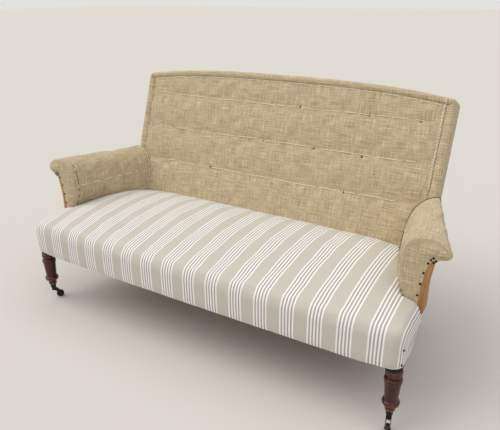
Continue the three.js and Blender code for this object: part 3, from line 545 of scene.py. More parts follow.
@dataclass(frozen=True)
class WovenJute(Finish):
    """Hessian: jute yarn of uneven thickness in plain weave. The eye gets thick and thin threads both
    ways, paler and darker, and a dry hairy face."""

    light: str = "e4d2b0"
    dark: str = "9a8664"
    thread: float = 2.4
    # Slubs run for a hand's width along the cloth. They are drawn wider than one thread to show.
    slub: float = 3.6
    warp_slub_length: float = 60
    weft_slub_length: float = 75
    hair: float = 1.6
    hair_length: float = 14
    patch: float = 40
    contrast: float = 1.3
    darkening: float = -1.37
    relief: float = 0.55
    relief_depth: float = 1.2
    on_cloth: bool = True

    def draw(self, tree: Tree, place: Output) -> dict[str, Output]:
        """Draws streaks of slubby yarn both ways over a fine weave."""
        slubs, hairs = (math_node(
            tree, "ADD", sized_noise(tree, place, (width, long_warp, 1), detail),
            sized_noise(tree, place, (long_weft, width, 1), detail))
            for width, long_warp, long_weft, detail in (
                (self.slub, self.warp_slub_length, self.weft_slub_length, 3),
                (self.hair, self.hair_length, self.hair_length, 1)))
        patches = sized_noise(tree, place, (self.patch, self.patch, 1), 2)
        mixed = math_node(tree, "MULTIPLY_ADD", hairs, 0.35, slubs)
        tone = math_node(tree, "MULTIPLY_ADD", patches, 0.16, mixed)
        ramp = add_node(tree, "ValToRGB", {"stops": [(0.0, self.dark), (1.0, self.light)]}, {
            "Fac": math_node(tree, "MULTIPLY_ADD", tone, self.contrast, self.darkening)})
        split = add_node(tree, "SeparateXYZ", links={"Vector": place})
        turns = 2 * math.pi / (self.thread * MM)
        across, along = (math_node(tree, "SINE", math_node(tree, "MULTIPLY", (split, axis), turns))
                         for axis in "XY")
        over = math_node(tree, "MULTIPLY", across, along)
        return {"Base Color": (ramp, "Color"), "Height": math_node(tree, "MULTIPLY_ADD", over, 0.25, mixed)}


@dataclass(frozen=True)
class StripedTicking(Finish):
    """Cotton ticking, yarn-dyed and woven: groups of five white lines on a greige ground, matt and close."""

    ground: str = "c8c4b8"
    line: str = "f4f2ee"
    gap: str = "aaa49d"
    repeat: float = 100
    first_group: float = 34
    line_pitch: float = 11.5
    line_width: float = 6.3
    line_edge: float = 0.35
    lines: int = 5
    # The lines wander this far to one side of their place, in waves about a hand long.
    wander: float = 3.0
    wander_waves: Triple = (120, 160, 1)
    yarn: float = 1.2
    yarn_length: float = 40
    relief: float = 0.35
    relief_depth: float = 0.5
    on_cloth: bool = True

    def draw(self, tree: Tree, place: Output) -> dict[str, Output]:
        """Draws the stripes over a close weave."""
        split = add_node(tree, "SeparateXYZ", links={"Vector": place})
        wave = sized_noise(tree, place, self.wander_waves, 2)
        across = math_node(tree, "MULTIPLY", (split, "X"), 1 / MM)
        bent = math_node(tree, "MULTIPLY_ADD", wave, self.wander, across)
        half, pitch = self.repeat / 2, self.line_pitch / 2
        group = math_node(tree, "WRAP", math_node(
            tree, "SUBTRACT", bent, self.first_group + self.wander / 2), half, -half)
        line = math_node(tree, "ABSOLUTE", math_node(tree, "WRAP", group, pitch, -pitch))
        half_line = self.line_width / 2
        reach = self.line_pitch * (self.lines - 1) / 2 + half_line
        inside, on_line = (add_node(tree, "MapRange", {
            "From Min": limit - self.line_edge, "From Max": limit + self.line_edge,
            "To Min": 1.0, "To Max": 0.0}, {"Value": value})
            for limit, value in ((reach, math_node(tree, "ABSOLUTE", group)), (half_line, line)))
        threads = add_node(tree, "Mix", {
            "data_type": "RGBA", 6: linear(self.gap), 7: linear(self.line)}, {0: (on_line, 0)})
        stripes = add_node(tree, "Mix", {"data_type": "RGBA", 6: linear(self.ground)},
                           {0: (inside, 0), 7: (threads, 2)})
        yarn = math_node(tree, "ADD", sized_noise(tree, place, (self.yarn, self.yarn_length, 1), 2),
                         sized_noise(tree, place, (self.yarn_length, self.yarn, 1), 2))
        shade = add_node(tree, "MapRange", {
            "From Min": 0.6, "From Max": 1.4, "To Min": 0.93, "To Max": 1.05}, {"Value": yarn})
        toned = add_node(tree, "VectorMath", {"operation": "SCALE"},
                         {0: (stripes, 2), "Scale": (shade, 0)})
        return {"Base Color": (toned, 0), "Height": yarn}


@dataclass(frozen=True)
class Timber(Finish):
    """A wood with its grain along one axis: fine pores, broader figure and rubbed edges. On the turned leg
    the mesh's rubbing value also gives painted highlight on the beads and painted shade in the grooves.
    """

    light: str = "b98a55"
    dark: str = "8d5f33"
    worn: str = "caa06c"
    grime: str = "3a2415"
    grain: Triple = (1.6, 1.6, 45.0)
    scuff: float = 9
    stain: str = "ffffff"
    stain_below: float = -100
    stain_edge: float = 6
    relief: float = 0.25
    relief_depth: float = 0.6

    def draw(self, tree: Tree, place: Output) -> dict[str, Output]:
        """Draws figure and pores, lighter where rubbed and darker where dirty, from the mesh's value; on the
        turned leg these are also painted highlight and painted shade.
        """
        pores = sized_noise(tree, place, self.grain, 3)
        figure = sized_noise(tree, place, [8 * size for size in self.grain], 2, 0.6)
        tone = math_node(tree, "MULTIPLY_ADD", pores, 0.6, math_node(tree, "MULTIPLY", figure, 0.7))
        wood = add_node(tree, "ValToRGB", {"stops": [(0.38, self.dark), (0.85, self.light)]}, {"Fac": tone})
        wear = add_node(tree, "Attribute", {"attribute_name": RUBBING_AND_PAINTED_LIGHT})
        scuffs_and_painted_light = math_node(tree, "MULTIPLY_ADD", sized_noise(tree, place, (self.scuff,) * 3, 4), 0.5,
                           (wear, "Fac"))
        height = add_node(tree, "SeparateXYZ", links={"Vector": place})
        edges = (self.stain_below + self.stain_edge) * MM, (self.stain_below - self.stain_edge) * MM
        colour = (wood, "Color")
        # Each layer: its colour, what places it, from where to where, its most, and how it lies on the wood.
        # The first layer lightens rubbed places and the second darkens dirty ones; on the turned leg they
        # also stand for painted highlight on the beads and painted shade in the grooves.
        for code, source, low, high, most, blend in (
                (self.worn, scuffs_and_painted_light, 0.45, 0.75, 0.75, "MIX"), (self.grime, scuffs_and_painted_light, 0.05, -0.2, 0.85, "MIX"),
                (self.stain, (height, "Z"), *edges, 1.0, "MULTIPLY")):
            share = add_node(tree, "MapRange", {"From Min": low, "From Max": high, "To Max": most},
                             {"Value": source})
            colour = (add_node(tree, "Mix", {"data_type": "RGBA", "blend_type": blend, 7: linear(code)},
                               {0: (share, 0), 6: colour}), 2)
        gloss = add_node(tree, "MapRange", {
            "From Min": 0.0, "From Max": 0.8, "To Min": min(1.0, self.roughness + 0.12),
            "To Max": self.roughness - 0.08}, {"Value": scuffs_and_painted_light})
        return {"Base Color": colour, "Roughness": (gloss, 0), "Height": pores}


@dataclass(frozen=True)
class Metal(Finish):
    """A worked metal: scale, scratches and darker hollows."""

    light: str = "5a544c"
    dark: str = "1d1b19"
    blotch: float = 6.0
    pit: float = 0.9

    def draw(self, tree: Tree, place: Output) -> dict[str, Output]:
        """Draws blotches of scale over a finely pitted face."""
        scale = sized_noise(tree, place, (self.blotch,) * 3, 5)
        tone = add_node(tree, "ValToRGB", {"stops": [(0.35, self.dark), (0.75, self.light)]},
                        {"Fac": scale})
        gloss = add_node(tree, "MapRange", {
            "To Min": self.roughness - 0.12, "To Max": self.roughness + 0.15}, {"Value": scale})
        pits = sized_noise(tree, place, (self.pit,) * 3, 2)
        return {"Base Color": (tone, "Color"), "Roughness": (gloss, 0), "Height": pits}


@dataclass(frozen=True)
class Fibre(Finish):
    """Loose or spun fibre, such as coir, horsehair or twine: short dark and light strands."""

    light: str = "8a6a48"
    dark: str = "3c2918"
    strand: Triple = (1.0, 1.0, 9.0)
    relief: float = 0.6
    relief_depth: float = 1.2

    def draw(self, tree: Tree, place: Output) -> dict[str, Output]:
        """Draws crossed strands."""
        height = math_node(tree, "MAXIMUM", *(
            sized_noise(tree, place, size, 3, 1.5)
            for size in (self.strand, self.strand[1:] + self.strand[:1])))
        tone = add_node(tree, "ValToRGB", {"stops": [(0.4, self.dark), (0.75, self.light)]},
                        {"Fac": height})
        return {"Base Color": (tone, "Color"), "Height": height}


@dataclass(frozen=True)
class StripedWebbing(Finish):
    """Jute webbing: a close heavy twill with two dark stripes near its edges."""

    light: str = "b59a6a"
    dark: str = "7d6440"
    stripe: str = "4a3826"
    stripe_place: float = 16.5
    stripe_reach: tuple[float, float] = (1.8, 2.4)
    rib: tuple[float, float] = (2.8, 4.0)
    yarn: Triple = (1.5, 30, 1)
    relief: float = 0.5
    relief_depth: float = 0.8
    on_cloth: bool = True

    def draw(self, tree: Tree, place: Output) -> dict[str, Output]:
        """Draws the twill and its stripes."""
        split = add_node(tree, "SeparateXYZ", links={"Vector": place})
        ribs = math_node(tree, "ADD", *(
            math_node(tree, "MULTIPLY", (split, axis), 2 * math.pi / (size * MM))
            for axis, size in zip("XY", self.rib)))
        yarn = sized_noise(tree, place, self.yarn, 2)
        height = math_node(tree, "MULTIPLY_ADD", math_node(tree, "SINE", ribs), 0.2, yarn)
        tone = add_node(tree, "ValToRGB", {"stops": [(0.25, self.dark), (0.75, self.light)]},
                        {"Fac": height})
        from_middle = math_node(tree, "ABSOLUTE", (split, "X"))
        off_stripe = math_node(tree, "ABSOLUTE", math_node(
            tree, "SUBTRACT", from_middle, self.stripe_place * MM))
        low, high = self.stripe_reach
        band = add_node(tree, "MapRange", {
            "From Min": low * MM, "From Max": high * MM, "To Min": 1.0, "To Max": 0.0},
            {"Value": off_stripe})
        striped = add_node(tree, "Mix", {"data_type": "RGBA", 7: linear(self.stripe)},
                           {0: (band, 0), 6: (tone, "Color")})
        return {"Base Color": (striped, 2), "Height": height}


HESSIAN = WovenJute("hessian_jute_plain_weave", roughness=0.95, sheen=0.15)
CANVAS = WovenJute("hessian_spring_canvas", roughness=0.95, sheen=0.1, light="bba67a", dark="7f6b48")
TICKING = StripedTicking("cotton_ticking_woven_stripe", roughness=0.9, sheen=0.1)
# On the turned leg the lighter colour on the beads is also painted highlight, and the near-black in the
# grooves painted shade.
MAHOGANY = Timber("mahogany_turned_and_polished", roughness=0.3, gloss=0.2, coat=0.35,
                  coat_roughness=0.08, light="542511", dark="180803", worn="7f4c2f", grime="060202")
# The head is mahogany darkened near-black as painted shade, for the deep shade it sits in under the cover.
LEG_HEAD = Timber("mahogany_head_left_in_grime", roughness=0.6, gloss=0.3, light="27150d",
                  dark="100704", worn="4a3022", grime="060302")
BEECH = Timber("beech_sawn_bare", roughness=0.75, light="c3a077", dark="9b7850", worn="d2b48c",
               grime="6a4f35")
STUMP_WOOD = Timber("beech_bare_with_old_stain", roughness=0.72, light="bd8d58", dark="8f6639",
                    worn="d3b084", grime="4a3019", relief=0.5)
BACK_LEG = Timber("beech_stained_below_the_rail", roughness=0.55, light="c3a077", dark="9b7850",
                  worn="d2b48c", grime="6a4f35", stain="6b3f2c", stain_below=252)
COIR = Fibre("coir_fibre_stuffing", roughness=1.0)
TWINE = Fibre("linen_twine_waxed", roughness=0.8, light="fbf4e4", dark="d9cbad", strand=(0.8, 0.8, 4))
# Near-black cord: laid in the bead grooves and along the right arm's joint with the back it is painted
# shade; the back's tie knots are drawn in it too.
DARK_CORD = Fibre("seam_twine_waxed_black", roughness=0.7, light="5a4429", dark="2e2013",
                  strand=(0.8, 0.8, 4))
WEBBING = StripedWebbing("jute_webbing_twill", roughness=1.0)
SPRING_STEEL = Metal("spring_steel_coppered", roughness=0.42, metallic=1.0, light="9a7457", dark="5b4433")
BLACK_IRON = Metal("cast_iron_blacked", roughness=0.45, metallic=0.85, light="4d4842", dark="171513")
BLUED_STEEL = Metal("tack_steel_blued", roughness=0.4, metallic=0.9, light="2c2c30", dark="0c0c0e",
                    blotch=2.0)


def coat(piece: Piece, finish: Finish) -> None:
    """Gives a piece one finish all over."""
    piece.data.materials.clear()
    piece.data.materials.append(finish.make())


def dress(piece: Piece, finish: Finish, slot: str, *nodes: str, body: str = "sofa") -> None:
    """Gives a piece its finish and body, and puts it in place of CAD nodes.

    Args:
        piece: The piece.
        finish: Its finish.
        slot: The material slot of the record. It is not used.
        nodes: The CAD nodes that it replaces.
        body: The body that it rides on.
    """
    coat(piece, finish)
    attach(piece, body)
    if nodes:
        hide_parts(*nodes)
    log.info("%s: %d faces, in place of %s", piece.name, len(piece.data.polygons), ", ".join(nodes) or "-")


def one_of_many(name: str, parts: Sequence[Shell], finish: Finish, slot: str, *nodes: str) -> None:
    """Makes one piece of many small round ones and dresses it.

    Args:
        name: Name of the piece.
        parts: Points and faces of each.
        finish: Their finish.
        slot: The material slot of the record.
        nodes: The CAD nodes that it replaces.
    """
    piece = new_piece(name, *gather(parts))
    smooth(piece, 60)
    dress(piece, finish, slot, *nodes)


# The back


@dataclass(frozen=True)
class BackForm:
    """The leaning back: N goes into it, and S up its slope from the seat line."""

    half_width: float = 739
    rake: float = math.radians(19.65)
    seat_line: float = 390
    base_y: float = 151.48
    top_length: float = 584 / math.cos(math.radians(19.65))
    arch: float = 39
    corner: float = 20
    foot: float = 24
    frame_rear: float = 61.9
    top_border: float = 29
    side_border: float = 38
    stitch_rows: tuple[float, ...] = (169, 329, 489)

    def plane_y(self, z: Array | float) -> Array | float:
        """Y of the front plane at a height."""
        return self.base_y + (z - self.seat_line) * math.tan(self.rake)

    def world(self, x: Array, n: Array, s: Array) -> Array:
        """Turns places on the back into places in the room.

        Args:
            x: Places along the sofa.
            n: Depths into the back.
            s: Places up its slope.

        Returns:
            The points.
        """
        return joined(
            x, self.base_y + n * math.cos(self.rake) + s * math.sin(self.rake),
            self.seat_line + s * math.cos(self.rake) - n * math.sin(self.rake))

    def top(self, x: Array) -> Array:
        """Length of the back at a place along it, without its rounded corners."""
        return self.top_length - self.arch * np.abs(x / self.half_width) ** 3 / math.cos(self.rake)


@dataclass
class SkirtedGrid:
    """A grid over a rectangle with two rounded corners.

    across holds the places from one side to the other, and inward the distances from the edge that has
    the rounded corners.
    """

    across: Array
    inward: Array
    corner: float

    def plan(self) -> tuple[Array, Array, Array, Array]:
        """Lays the grid out flat.

        Returns:
            Place across, distance inward, distance from the edge and turn of the edge, which is 0 along
            the front and a quarter at the sides, each with a row for each distance inward.
        """
        half = self.across[-1]
        u, v = np.meshgrid(self.across, self.inward)
        side = half - np.abs(u)
        p = 1 - side / self.corner
        q = 1 - v / self.corner
        in_corner = (p > 0) & (q > 0)
        round_x = p * np.sqrt(unit(1 - q * q / 2))
        round_y = q * np.sqrt(unit(1 - p * p / 2))
        turn = np.where(in_corner, np.arctan2(round_x, np.maximum(round_y, 1e-9)),
                        np.where(side < v, math.pi / 2, 0))
        away = np.where(in_corner, self.corner * (1 - np.hypot(round_x, round_y)), np.minimum(side, v))
        new_u = np.where(in_corner, np.sign(u) * (half - self.corner + self.corner * round_x), u)
        new_v = np.where(in_corner, self.corner * (1 - round_y), v)
        return new_u, new_v, np.maximum(away, 0), turn

    def outline(self, last_row: int | None = None) -> list[tuple[int, int]]:
        """Lists the row and column of each point of the edge, from one side over the front to the other.

        Args:
            last_row: The row that it starts and ends at, if not the last of all.

        Returns:
            Row and column of each point.
        """
        rows = last_row if last_row is not None else len(self.inward) - 1
        last = len(self.across) - 1
        return ([(r, 0) for r in range(rows, 0, -1)] + [(0, c) for c in range(last + 1)]
                + [(r, last) for r in range(1, rows + 1)])


def from_side_to_side(inward: Array) -> Array:
    """Turns distances from a side edge, up to the middle, to places from one side to the other."""
    right = inward[-1] - inward[::-1]
    return np.concatenate([-right[::-1], right[1:]])


def rolled_steps(radius: float, count: int) -> Array:
    """Distances from an edge that follow a quarter of a circle, from 0 to its radius."""
    return radius * (1 - np.cos(np.linspace(0, math.pi / 2, count + 1)))


def hang_skirt(faces: list[Face], edge: list[int], first: int, levels: int) -> None:
    """Adds the faces of rows that hang from an edge, whose points follow one another from first.

    Args:
        faces: The faces so far, which the new ones are added to.
        edge: Numbers of the points of the edge.
        first: Number of the first hanging point.
        levels: How many rows hang.
    """
    count = len(edge)
    for level in range(levels):
        upper = edge if level == 0 else [first + (level - 1) * count + i for i in range(count)]
        lower = [first + level * count + i for i in range(count)]
        faces += [(upper[i], lower[i], lower[i + 1], upper[i + 1]) for i in range(count - 1)]


def closed_slab(name: str, front: Array, rear: Array) -> Piece:
    """Closes two grids of the same shape into one solid.

    Args:
        name: Name of the piece.
        front: Points of one face, in rows and columns.
        rear: Points of the other.

    Returns:
        The piece.
    """
    rows, columns = front.shape[:2]
    size = rows * columns
    faces = grid_faces(rows, columns) + [tuple(reversed(f)) for f in grid_faces(rows, columns, size)]
    rim = ([c for c in range(columns)] + [r * columns + columns - 1 for r in range(1, rows)]
           + [size - 2 - c for c in range(columns - 1)] + [r * columns for r in range(rows - 2, 0, -1)])
    for here, there in zip(rim, rim[1:] + rim[:1]):
        faces.append((there, here, here + size, there + size))
    piece = new_piece(name, np.vstack([front.reshape(-1, 3), rear.reshape(-1, 3)]), faces)
    close_up(piece)
    smooth(piece, 50)
    return piece


@dataclass(frozen=True)
class Settling:
    """How a cloth, cut a little larger than its place, settles between what holds it."""

    growth: float = 0.005
    pressure: float = 0.3
    stiffness: float = 12
    bending: float = 0.6
    frames: int = 14
    most: float = 3.2

    def apply(self, piece: Piece, held: Array) -> None:
        """Lets an open sheet settle.

        Args:
            piece: The sheet.
            held: Whether each of its points is held by a stitch, a tack or an edge.
        """
        piece.vertex_groups.new(name="held").add([int(i) for i in np.flatnonzero(held)], 1.0, "REPLACE")
        weld(piece)
        cloth = piece.modifiers.new("settling", "CLOTH")
        settings = {
            "vertex_group_mass": "held", "quality": 4, "mass": 0.3, "tension_stiffness": self.stiffness,
            "compression_stiffness": self.stiffness, "shear_stiffness": self.stiffness / 3,
            "bending_stiffness": self.bending, "shrink_min": -self.growth, "use_pressure": True,
            "uniform_pressure_force": self.pressure}
        for name, value in settings.items():
            setattr(cloth.settings, name, value)
        cloth.settings.effector_weights.gravity = 0
        cloth.point_cache.frame_start, cloth.point_cache.frame_end = 1, self.frames
        start = mesh_places(piece.data)
        for number in range(1, self.frames + 1):
            bpy.context.scene.frame_set(number)
        end = mesh_places(piece.evaluated_get(bpy.context.evaluated_depsgraph_get()).data)
        piece.modifiers.clear()
        piece.vertex_groups.clear()
        bpy.context.scene.frame_set(1)
        move = end - start
        length = np.linalg.norm(move, axis=1, keepdims=True)
        move *= np.minimum(1, self.most * MM / np.maximum(length, 1e-9))
        piece.data.vertices.foreach_set("co", (start + move).astype(np.float32).ravel())
        piece.data.update()
        log.info("%s: settled by %.1f mm at most, %.2f on the whole", piece.name,
                 min(self.most, length.max() / MM), length.mean() / MM)


def weld(piece: Piece, reach: float = 0.3) -> None:
    """Joins points that lie on one another, which no cloth can settle with.

    Args:
        piece: The piece.
        reach: How near counts as the same place, in millimetres.
    """
    build = bmesh.new()
    build.from_mesh(piece.data)
    bmesh.ops.remove_doubles(build, verts=build.verts[:], dist=reach * MM)
    build.to_mesh(piece.data)
    build.free()


def mesh_places(mesh: bpy.types.Mesh) -> Array:
    """Reads the points of a mesh, in metres."""
    places = np.empty(len(mesh.vertices) * 3, np.float32)
    mesh.vertices.foreach_get("co", places)
    return places.reshape(-1, 3).astype(float)


def cloth_piece(name: str, points: Array, towards: Sequence[float], lay: Array | None = None,
                faces: list[Face] | None = None, settling: Settling | None = None,
                held: Array | None = None) -> Piece:
    """Makes a cloth of full thickness from a grid of points.

    Args:
        name: Name of the piece.
        points: Points of its outer face, in rows and columns, or in a list if its faces are given.
        towards: The side that its outer face looks to.
        lay: Place of each point on the flat cloth. Without it, the cloth lies as long and wide as it is.
        faces: Its faces, where it isn't a plain grid.
        settling: How it settles, if it does.
        held: Whether each point is held while it settles.

    Returns:
        The piece.
    """
    if faces is None:
        faces = grid_faces(*points.shape[:2])
        if lay is None:
            across = np.linalg.norm(np.diff(points, axis=1, prepend=points[:, :1]), axis=2).cumsum(1)
            along = np.linalg.norm(np.diff(points, axis=0, prepend=points[:1]), axis=2).cumsum(0)
            lay = joined(across, along)
        points, lay = points.reshape(-1, 3), lay.reshape(-1, 2)
    used = np.unique(np.concatenate([np.asarray(f) for f in faces]))
    number = np.zeros(len(points), int)
    number[used] = np.arange(len(used))
    piece = new_piece(name, points[used], [number[list(f)] for f in faces], lay[used])
    face_outward(piece, towards)
    if settling:
        settling.apply(piece, held[used])
    thicken(piece)
    smooth(piece, 50)
    return piece


@dataclass(frozen=True)
class Twine:
    """Waxed linen twine. It is drawn 4 mm thick and not 1.5, so that its stitches show."""

    radius: float = 2.0
    sink: float = 1.6

    def dash(self, points: Array, outward: Array) -> Shell:
        """One stitch on a cloth, whose two ends dive into it.

        Args:
            points: Its line on the face of the cloth.
            outward: The direction off the cloth.

        Returns:
            Points and faces.
        """
        share = np.linspace(0, 1, len(points))
        rise = self.radius * 0.9 - (self.sink + self.radius) * np.abs(2 * share - 1) ** 8
        taper = self.radius * (1 - 0.35 * np.abs(2 * share - 1) ** 4)
        return tube(points + rise[:, None] * np.asarray(outward), taper, 6)

    def sew(self, name: str, stitches: Sequence[Shell], finish: Finish = TWINE) -> None:
        """Makes one piece of many stitches."""
        one_of_many(name, stitches, finish, "jute_webbing")


@dataclass(frozen=True)
class Tack:
    """A blued tack with a low domed head."""

    radius: float = 3.9

    def head(self, place: Sequence[float], outward: Sequence[float]) -> Shell:
        """The head of a tack that is driven in at a place, against a direction.

        Args:
            place: Where it is driven in.
            outward: The direction off the surface there.

        Returns:
            Points and faces.
        """
        profile = np.array([
            (0.9, -0.12), (1, 0.04), (0.9, 0.2), (0.62, 0.36), (0.25, 0.44)]) * self.radius
        points, faces = lathe(profile, (0, 0), 12)
        turn = Vector(outward).to_track_quat("Z", "Y").to_matrix()
        return points @ np.array(turn).T + np.asarray(place, float), faces

    def drive(self, name: str, places: Sequence[Sequence[float]],
              outward: Sequence[Sequence[float]]) -> None:
        """Drives tacks in at some places, each against its direction."""
        heads = [self.head(p, o) for p, o in zip(places, outward)]
        one_of_many(name, heads, BLUED_STEEL, "cast_iron")


@dataclass
class Back:
    """The back in its scrim: an edge roll on three sides and three rows of through stitches."""

    form: BackForm = BackForm()
    twine: Twine = Twine()
    edge_radius: float = 11
    roll_rise: float = 5.5
    groove: float = 3.6
    groove_width: float = 3.2
    puff: float = 2.8
    puff_reach: float = 38
    open_from: float = 45
    pull: float = 2.0
    pull_reach: float = 7
    tie_pull: float = 3.4
    tie_reach: tuple[float, float] = (13, 8)
    lumps: float = 1.3
    lump_size: tuple[float, float] = (160, 120)
    skirt: tuple[float, ...] = (24, 40, 52)
    upright_x: float = 235
    upright_half: float = 24
    rear_length: float = 745
    rear_foot: float = -124
    rear_depth: float = 63.7
    rear_sag: float = 2.4
    rail_rear: float = 200.4
    stitch_run: tuple[float, float] = (40, 115)
    stitch_gaps: tuple[float, ...] = (1, 2, 3, 5, 9, 26)
    row_wander: float = 2.2
    seam_run: tuple[float, float] = (35, 120)
    seam_gap: tuple[float, float] = (3, 26)
    # Side, lowest and highest stitch, and the share of the stitches that isn't missing.
    blanket_runs: tuple[tuple[float, ...], ...] = ((1, 232, 566, 1.0), (-1, 150, 520, 0.45))
    blanket_pitch: float = 11.5
    seam_ends: tuple[float, float] = (-700.0, 684)
    row_ends: Pairs = ((-549, 583), (-632, 630), (-660, 634))
    ties: Pairs = (
        (-295, 171), (-40, 329), (202, 327), (415, 321), (415, 488), (620, 487), (107, 492), (367, 168))

    def depth(self, x: Array, s: Array, away: Array) -> Array:
        """Gives the depth of the front surface.

        Args:
            x: Places along the sofa.
            s: Places up the back.
            away: Distances from the edge.

        Returns:
            Depth into the back.
        """
        form = self.form
        border = np.where(form.top(x) - s < form.half_width - np.abs(x), form.top_border, form.side_border)
        share = unit(away / border)
        fall = unit(1 - away / self.edge_radius)
        edge = self.edge_radius * (1 - np.sqrt(unit(1 - fall ** 2)))
        roll = -self.roll_rise * np.sin(math.pi * share) ** 0.8
        groove = self.groove * hump(away, border, self.groove_width)
        rows = self.from_rows(s)
        swell = -self.puff * (1 - hump(rows, 0, self.puff_reach))
        row_pull = self.pull * hump(rows, 0, self.pull_reach)
        across, up = self.tie_reach
        ties = sum(self.tie_pull * hump(x, tx, across) * hump(s, ts, up) for tx, ts in self.ties)
        wide, high = self.lump_size
        lumps = self.lumps * rough_wave(x + 0.6 * s, wide, 3) * rough_wave(s - 0.3 * x, high, 5)
        open_face = eased((away - border) / self.open_from)
        return edge + roll + groove + ties + (swell + row_pull + lumps) * open_face

    def from_rows(self, s: Array) -> Array:
        """Distances up the back from the nearest row of stitches."""
        return np.min([np.abs(s - row) for row in self.form.stitch_rows], axis=0)

    def surface(self, x: Array, s: Array) -> Array:
        """Places on the front surface, for stitches that lie on it."""
        away = np.minimum(self.form.half_width - np.abs(x), self.form.top(x) - s)
        return self.form.world(x, self.depth(x, s, away), s)

    def outward(self) -> Array:
        """The direction off the front."""
        return np.array([0, -math.cos(self.form.rake), math.sin(self.form.rake)])

    def scrim(self) -> None:
        """Builds the hessian over the front, the sides and the top of the back."""
        form = self.form
        edge = rolled_steps(self.edge_radius, 5)
        sides = go_on(edge, (form.side_border + 12, 14), (form.half_width, 84))
        length = form.top_length + form.foot
        inward = go_on(edge, (form.top_border + 12, 12), (length, 112))
        grid = SkirtedGrid(from_side_to_side(sides), inward, form.corner)
        u, v, away, _ = grid.plan()
        s = form.top(u) - v * (form.top(u) + form.foot) / length
        points, lays = [form.world(u, self.depth(u, s, away), s).reshape(-1, 3)], [
            joined(u, s).reshape(-1, 2)]
        rows, columns = np.array(grid.outline()).T
        edge_u, edge_s, on_top = u[rows, columns], s[rows, columns], rows == 0
        depths = (self.edge_radius + 3, *self.skirt, form.frame_rear)
        for depth in depths:
            points.append(form.world(edge_u, depth, edge_s))
            lays.append(joined(edge_u + np.sign(edge_u) * depth * ~on_top, edge_s + depth * on_top))
        faces = grid_faces(*u.shape)
        hang_skirt(faces, list(rows * u.shape[1] + columns), u.size, len(depths))
        held = (away < form.side_border + 3) | (self.from_rows(s) < 3.5) | (s < -5)
        for tie_x, tie_s in self.ties:
            held |= np.hypot(u - tie_x, s - tie_s) < 8
        held = np.concatenate([held.ravel(), np.ones(len(depths) * len(rows), bool)])
        piece = cloth_piece("back_face_scrim", np.vstack(points), (0, -1, 0.3), np.vstack(lays), faces,
                            Settling(), held)
        dress(piece, HESSIAN, "hessian", "back_scrim")

    def pad(self) -> None:
        """Builds the stuffing behind the scrim."""
        form = self.form
        inset = 9
        x = np.linspace(-form.half_width + inset, form.half_width - inset, 150)
        xs, ups = np.meshgrid(x, np.linspace(0, 1, 70))
        s = -form.foot + 2 + ups * (form.top(xs) - inset + form.foot - 2)
        away = np.minimum(form.half_width - np.abs(xs), form.top(xs) - s)
        front = form.world(xs, self.depth(xs, s, away) + UNDER_CLOTH, s)
        piece = closed_slab("back_pad", front, form.world(xs, np.full(xs.shape, 31.0), s))
        dress(piece, COIR, "stuffing", "back_stuffing")

    def outside_cloth(self) -> None:
        """Builds the cloth that closes the rear, down to the foot of the back rail."""
        form = self.form
        x = np.linspace(-form.half_width + 1, form.half_width - 1, 90)
        ups = 1 - go_on(rolled_steps(form.corner, 7), (self.rear_length, 64)) / self.rear_length
        xs, ups = np.meshgrid(x, ups[::-1])
        below = (1 - ups) * self.rear_length
        short = np.clip(form.corner - below, 0, form.corner - 1.5)
        cut = form.corner - np.sqrt(form.corner ** 2 - short ** 2)
        xs = xs * (1 - cut / form.half_width)
        s = self.rear_foot + ups * (form.top(xs) - 1 - self.rear_foot)
        from_rib = np.abs(np.abs(xs) - self.upright_x) - self.upright_half
        beside = eased(from_rib / 60) * eased((form.half_width - np.abs(xs)) / 80)
        sag = self.rear_sag * beside * eased((s - 56) / 90) * eased((form.top(xs) - s - 120) / 80)
        points = form.world(xs, self.rear_depth - sag, s)
        points[..., 1] = np.maximum(points[..., 1], self.rail_rear)
        piece = cloth_piece("rear_cloth", points, (0, 1, 0))
        dress(piece, HESSIAN, "hessian", "outside_back_cloth")

    def stitches(self) -> None:
        """Sews the three rows, the seam under the top roll and the blanket stitches at the sides."""
        draw = random.Random(8)
        off = self.outward()
        dashes = []
        for row, (start, end) in zip(self.form.stitch_rows, self.row_ends):
            x = start
            while x < end - 12:
                reach = min(end, x + draw.uniform(*self.stitch_run))
                u = np.linspace(x, reach, 15)
                wander = self.row_wander * rough_wave(u, 260, int(row))
                s = row + wander + draw.uniform(-1, 1) * np.linspace(0, 2, 15)
                dashes.append(self.twine.dash(self.surface(u, s), off))
                x = reach + draw.choice(self.stitch_gaps)
        self.twine.sew("back_row_stitches", dashes)
        knots = [self.twine.dash(self.surface(
            np.linspace(x - 1, x + 1, 5), np.linspace(s - 7, s + 6, 5)), off) for x, s in self.ties]
        self.twine.sew("back_tie_knots", knots, DARK_CORD)
        seam, (x, end) = [], self.seam_ends
        while x < end - 8:
            reach = x + draw.uniform(*self.seam_run)
            u = np.linspace(x, min(reach, end), 13)
            s = self.form.top(u) - self.form.top_border - 3.5 + 0.8 * rough_wave(u, 120, 41)
            seam.append(self.twine.dash(self.surface(u, s), off))
            x = reach + draw.uniform(*self.seam_gap)
        self.twine.sew("back_top_seam_stitches", seam)
        zigzag = []
        for side, low_end, high_end, share in self.blanket_runs:
            for s in np.arange(low_end, high_end, self.blanket_pitch):
                if draw.random() > share:
                    continue
                place = side * (self.form.half_width - self.form.side_border - 3)
                sway = draw.uniform(5, 9)
                u = np.linspace(place - side * sway, place + side * 2, 6)
                for line, low, reach in ((u, s, (7, 13)), (u[::-1], s + 9, (13, 19))):
                    up = np.linspace(low, s + draw.uniform(*reach), 6)
                    zigzag.append(self.twine.dash(self.surface(line, up), off))
        self.twine.sew("back_blanket_stitches", zigzag)


# The arms


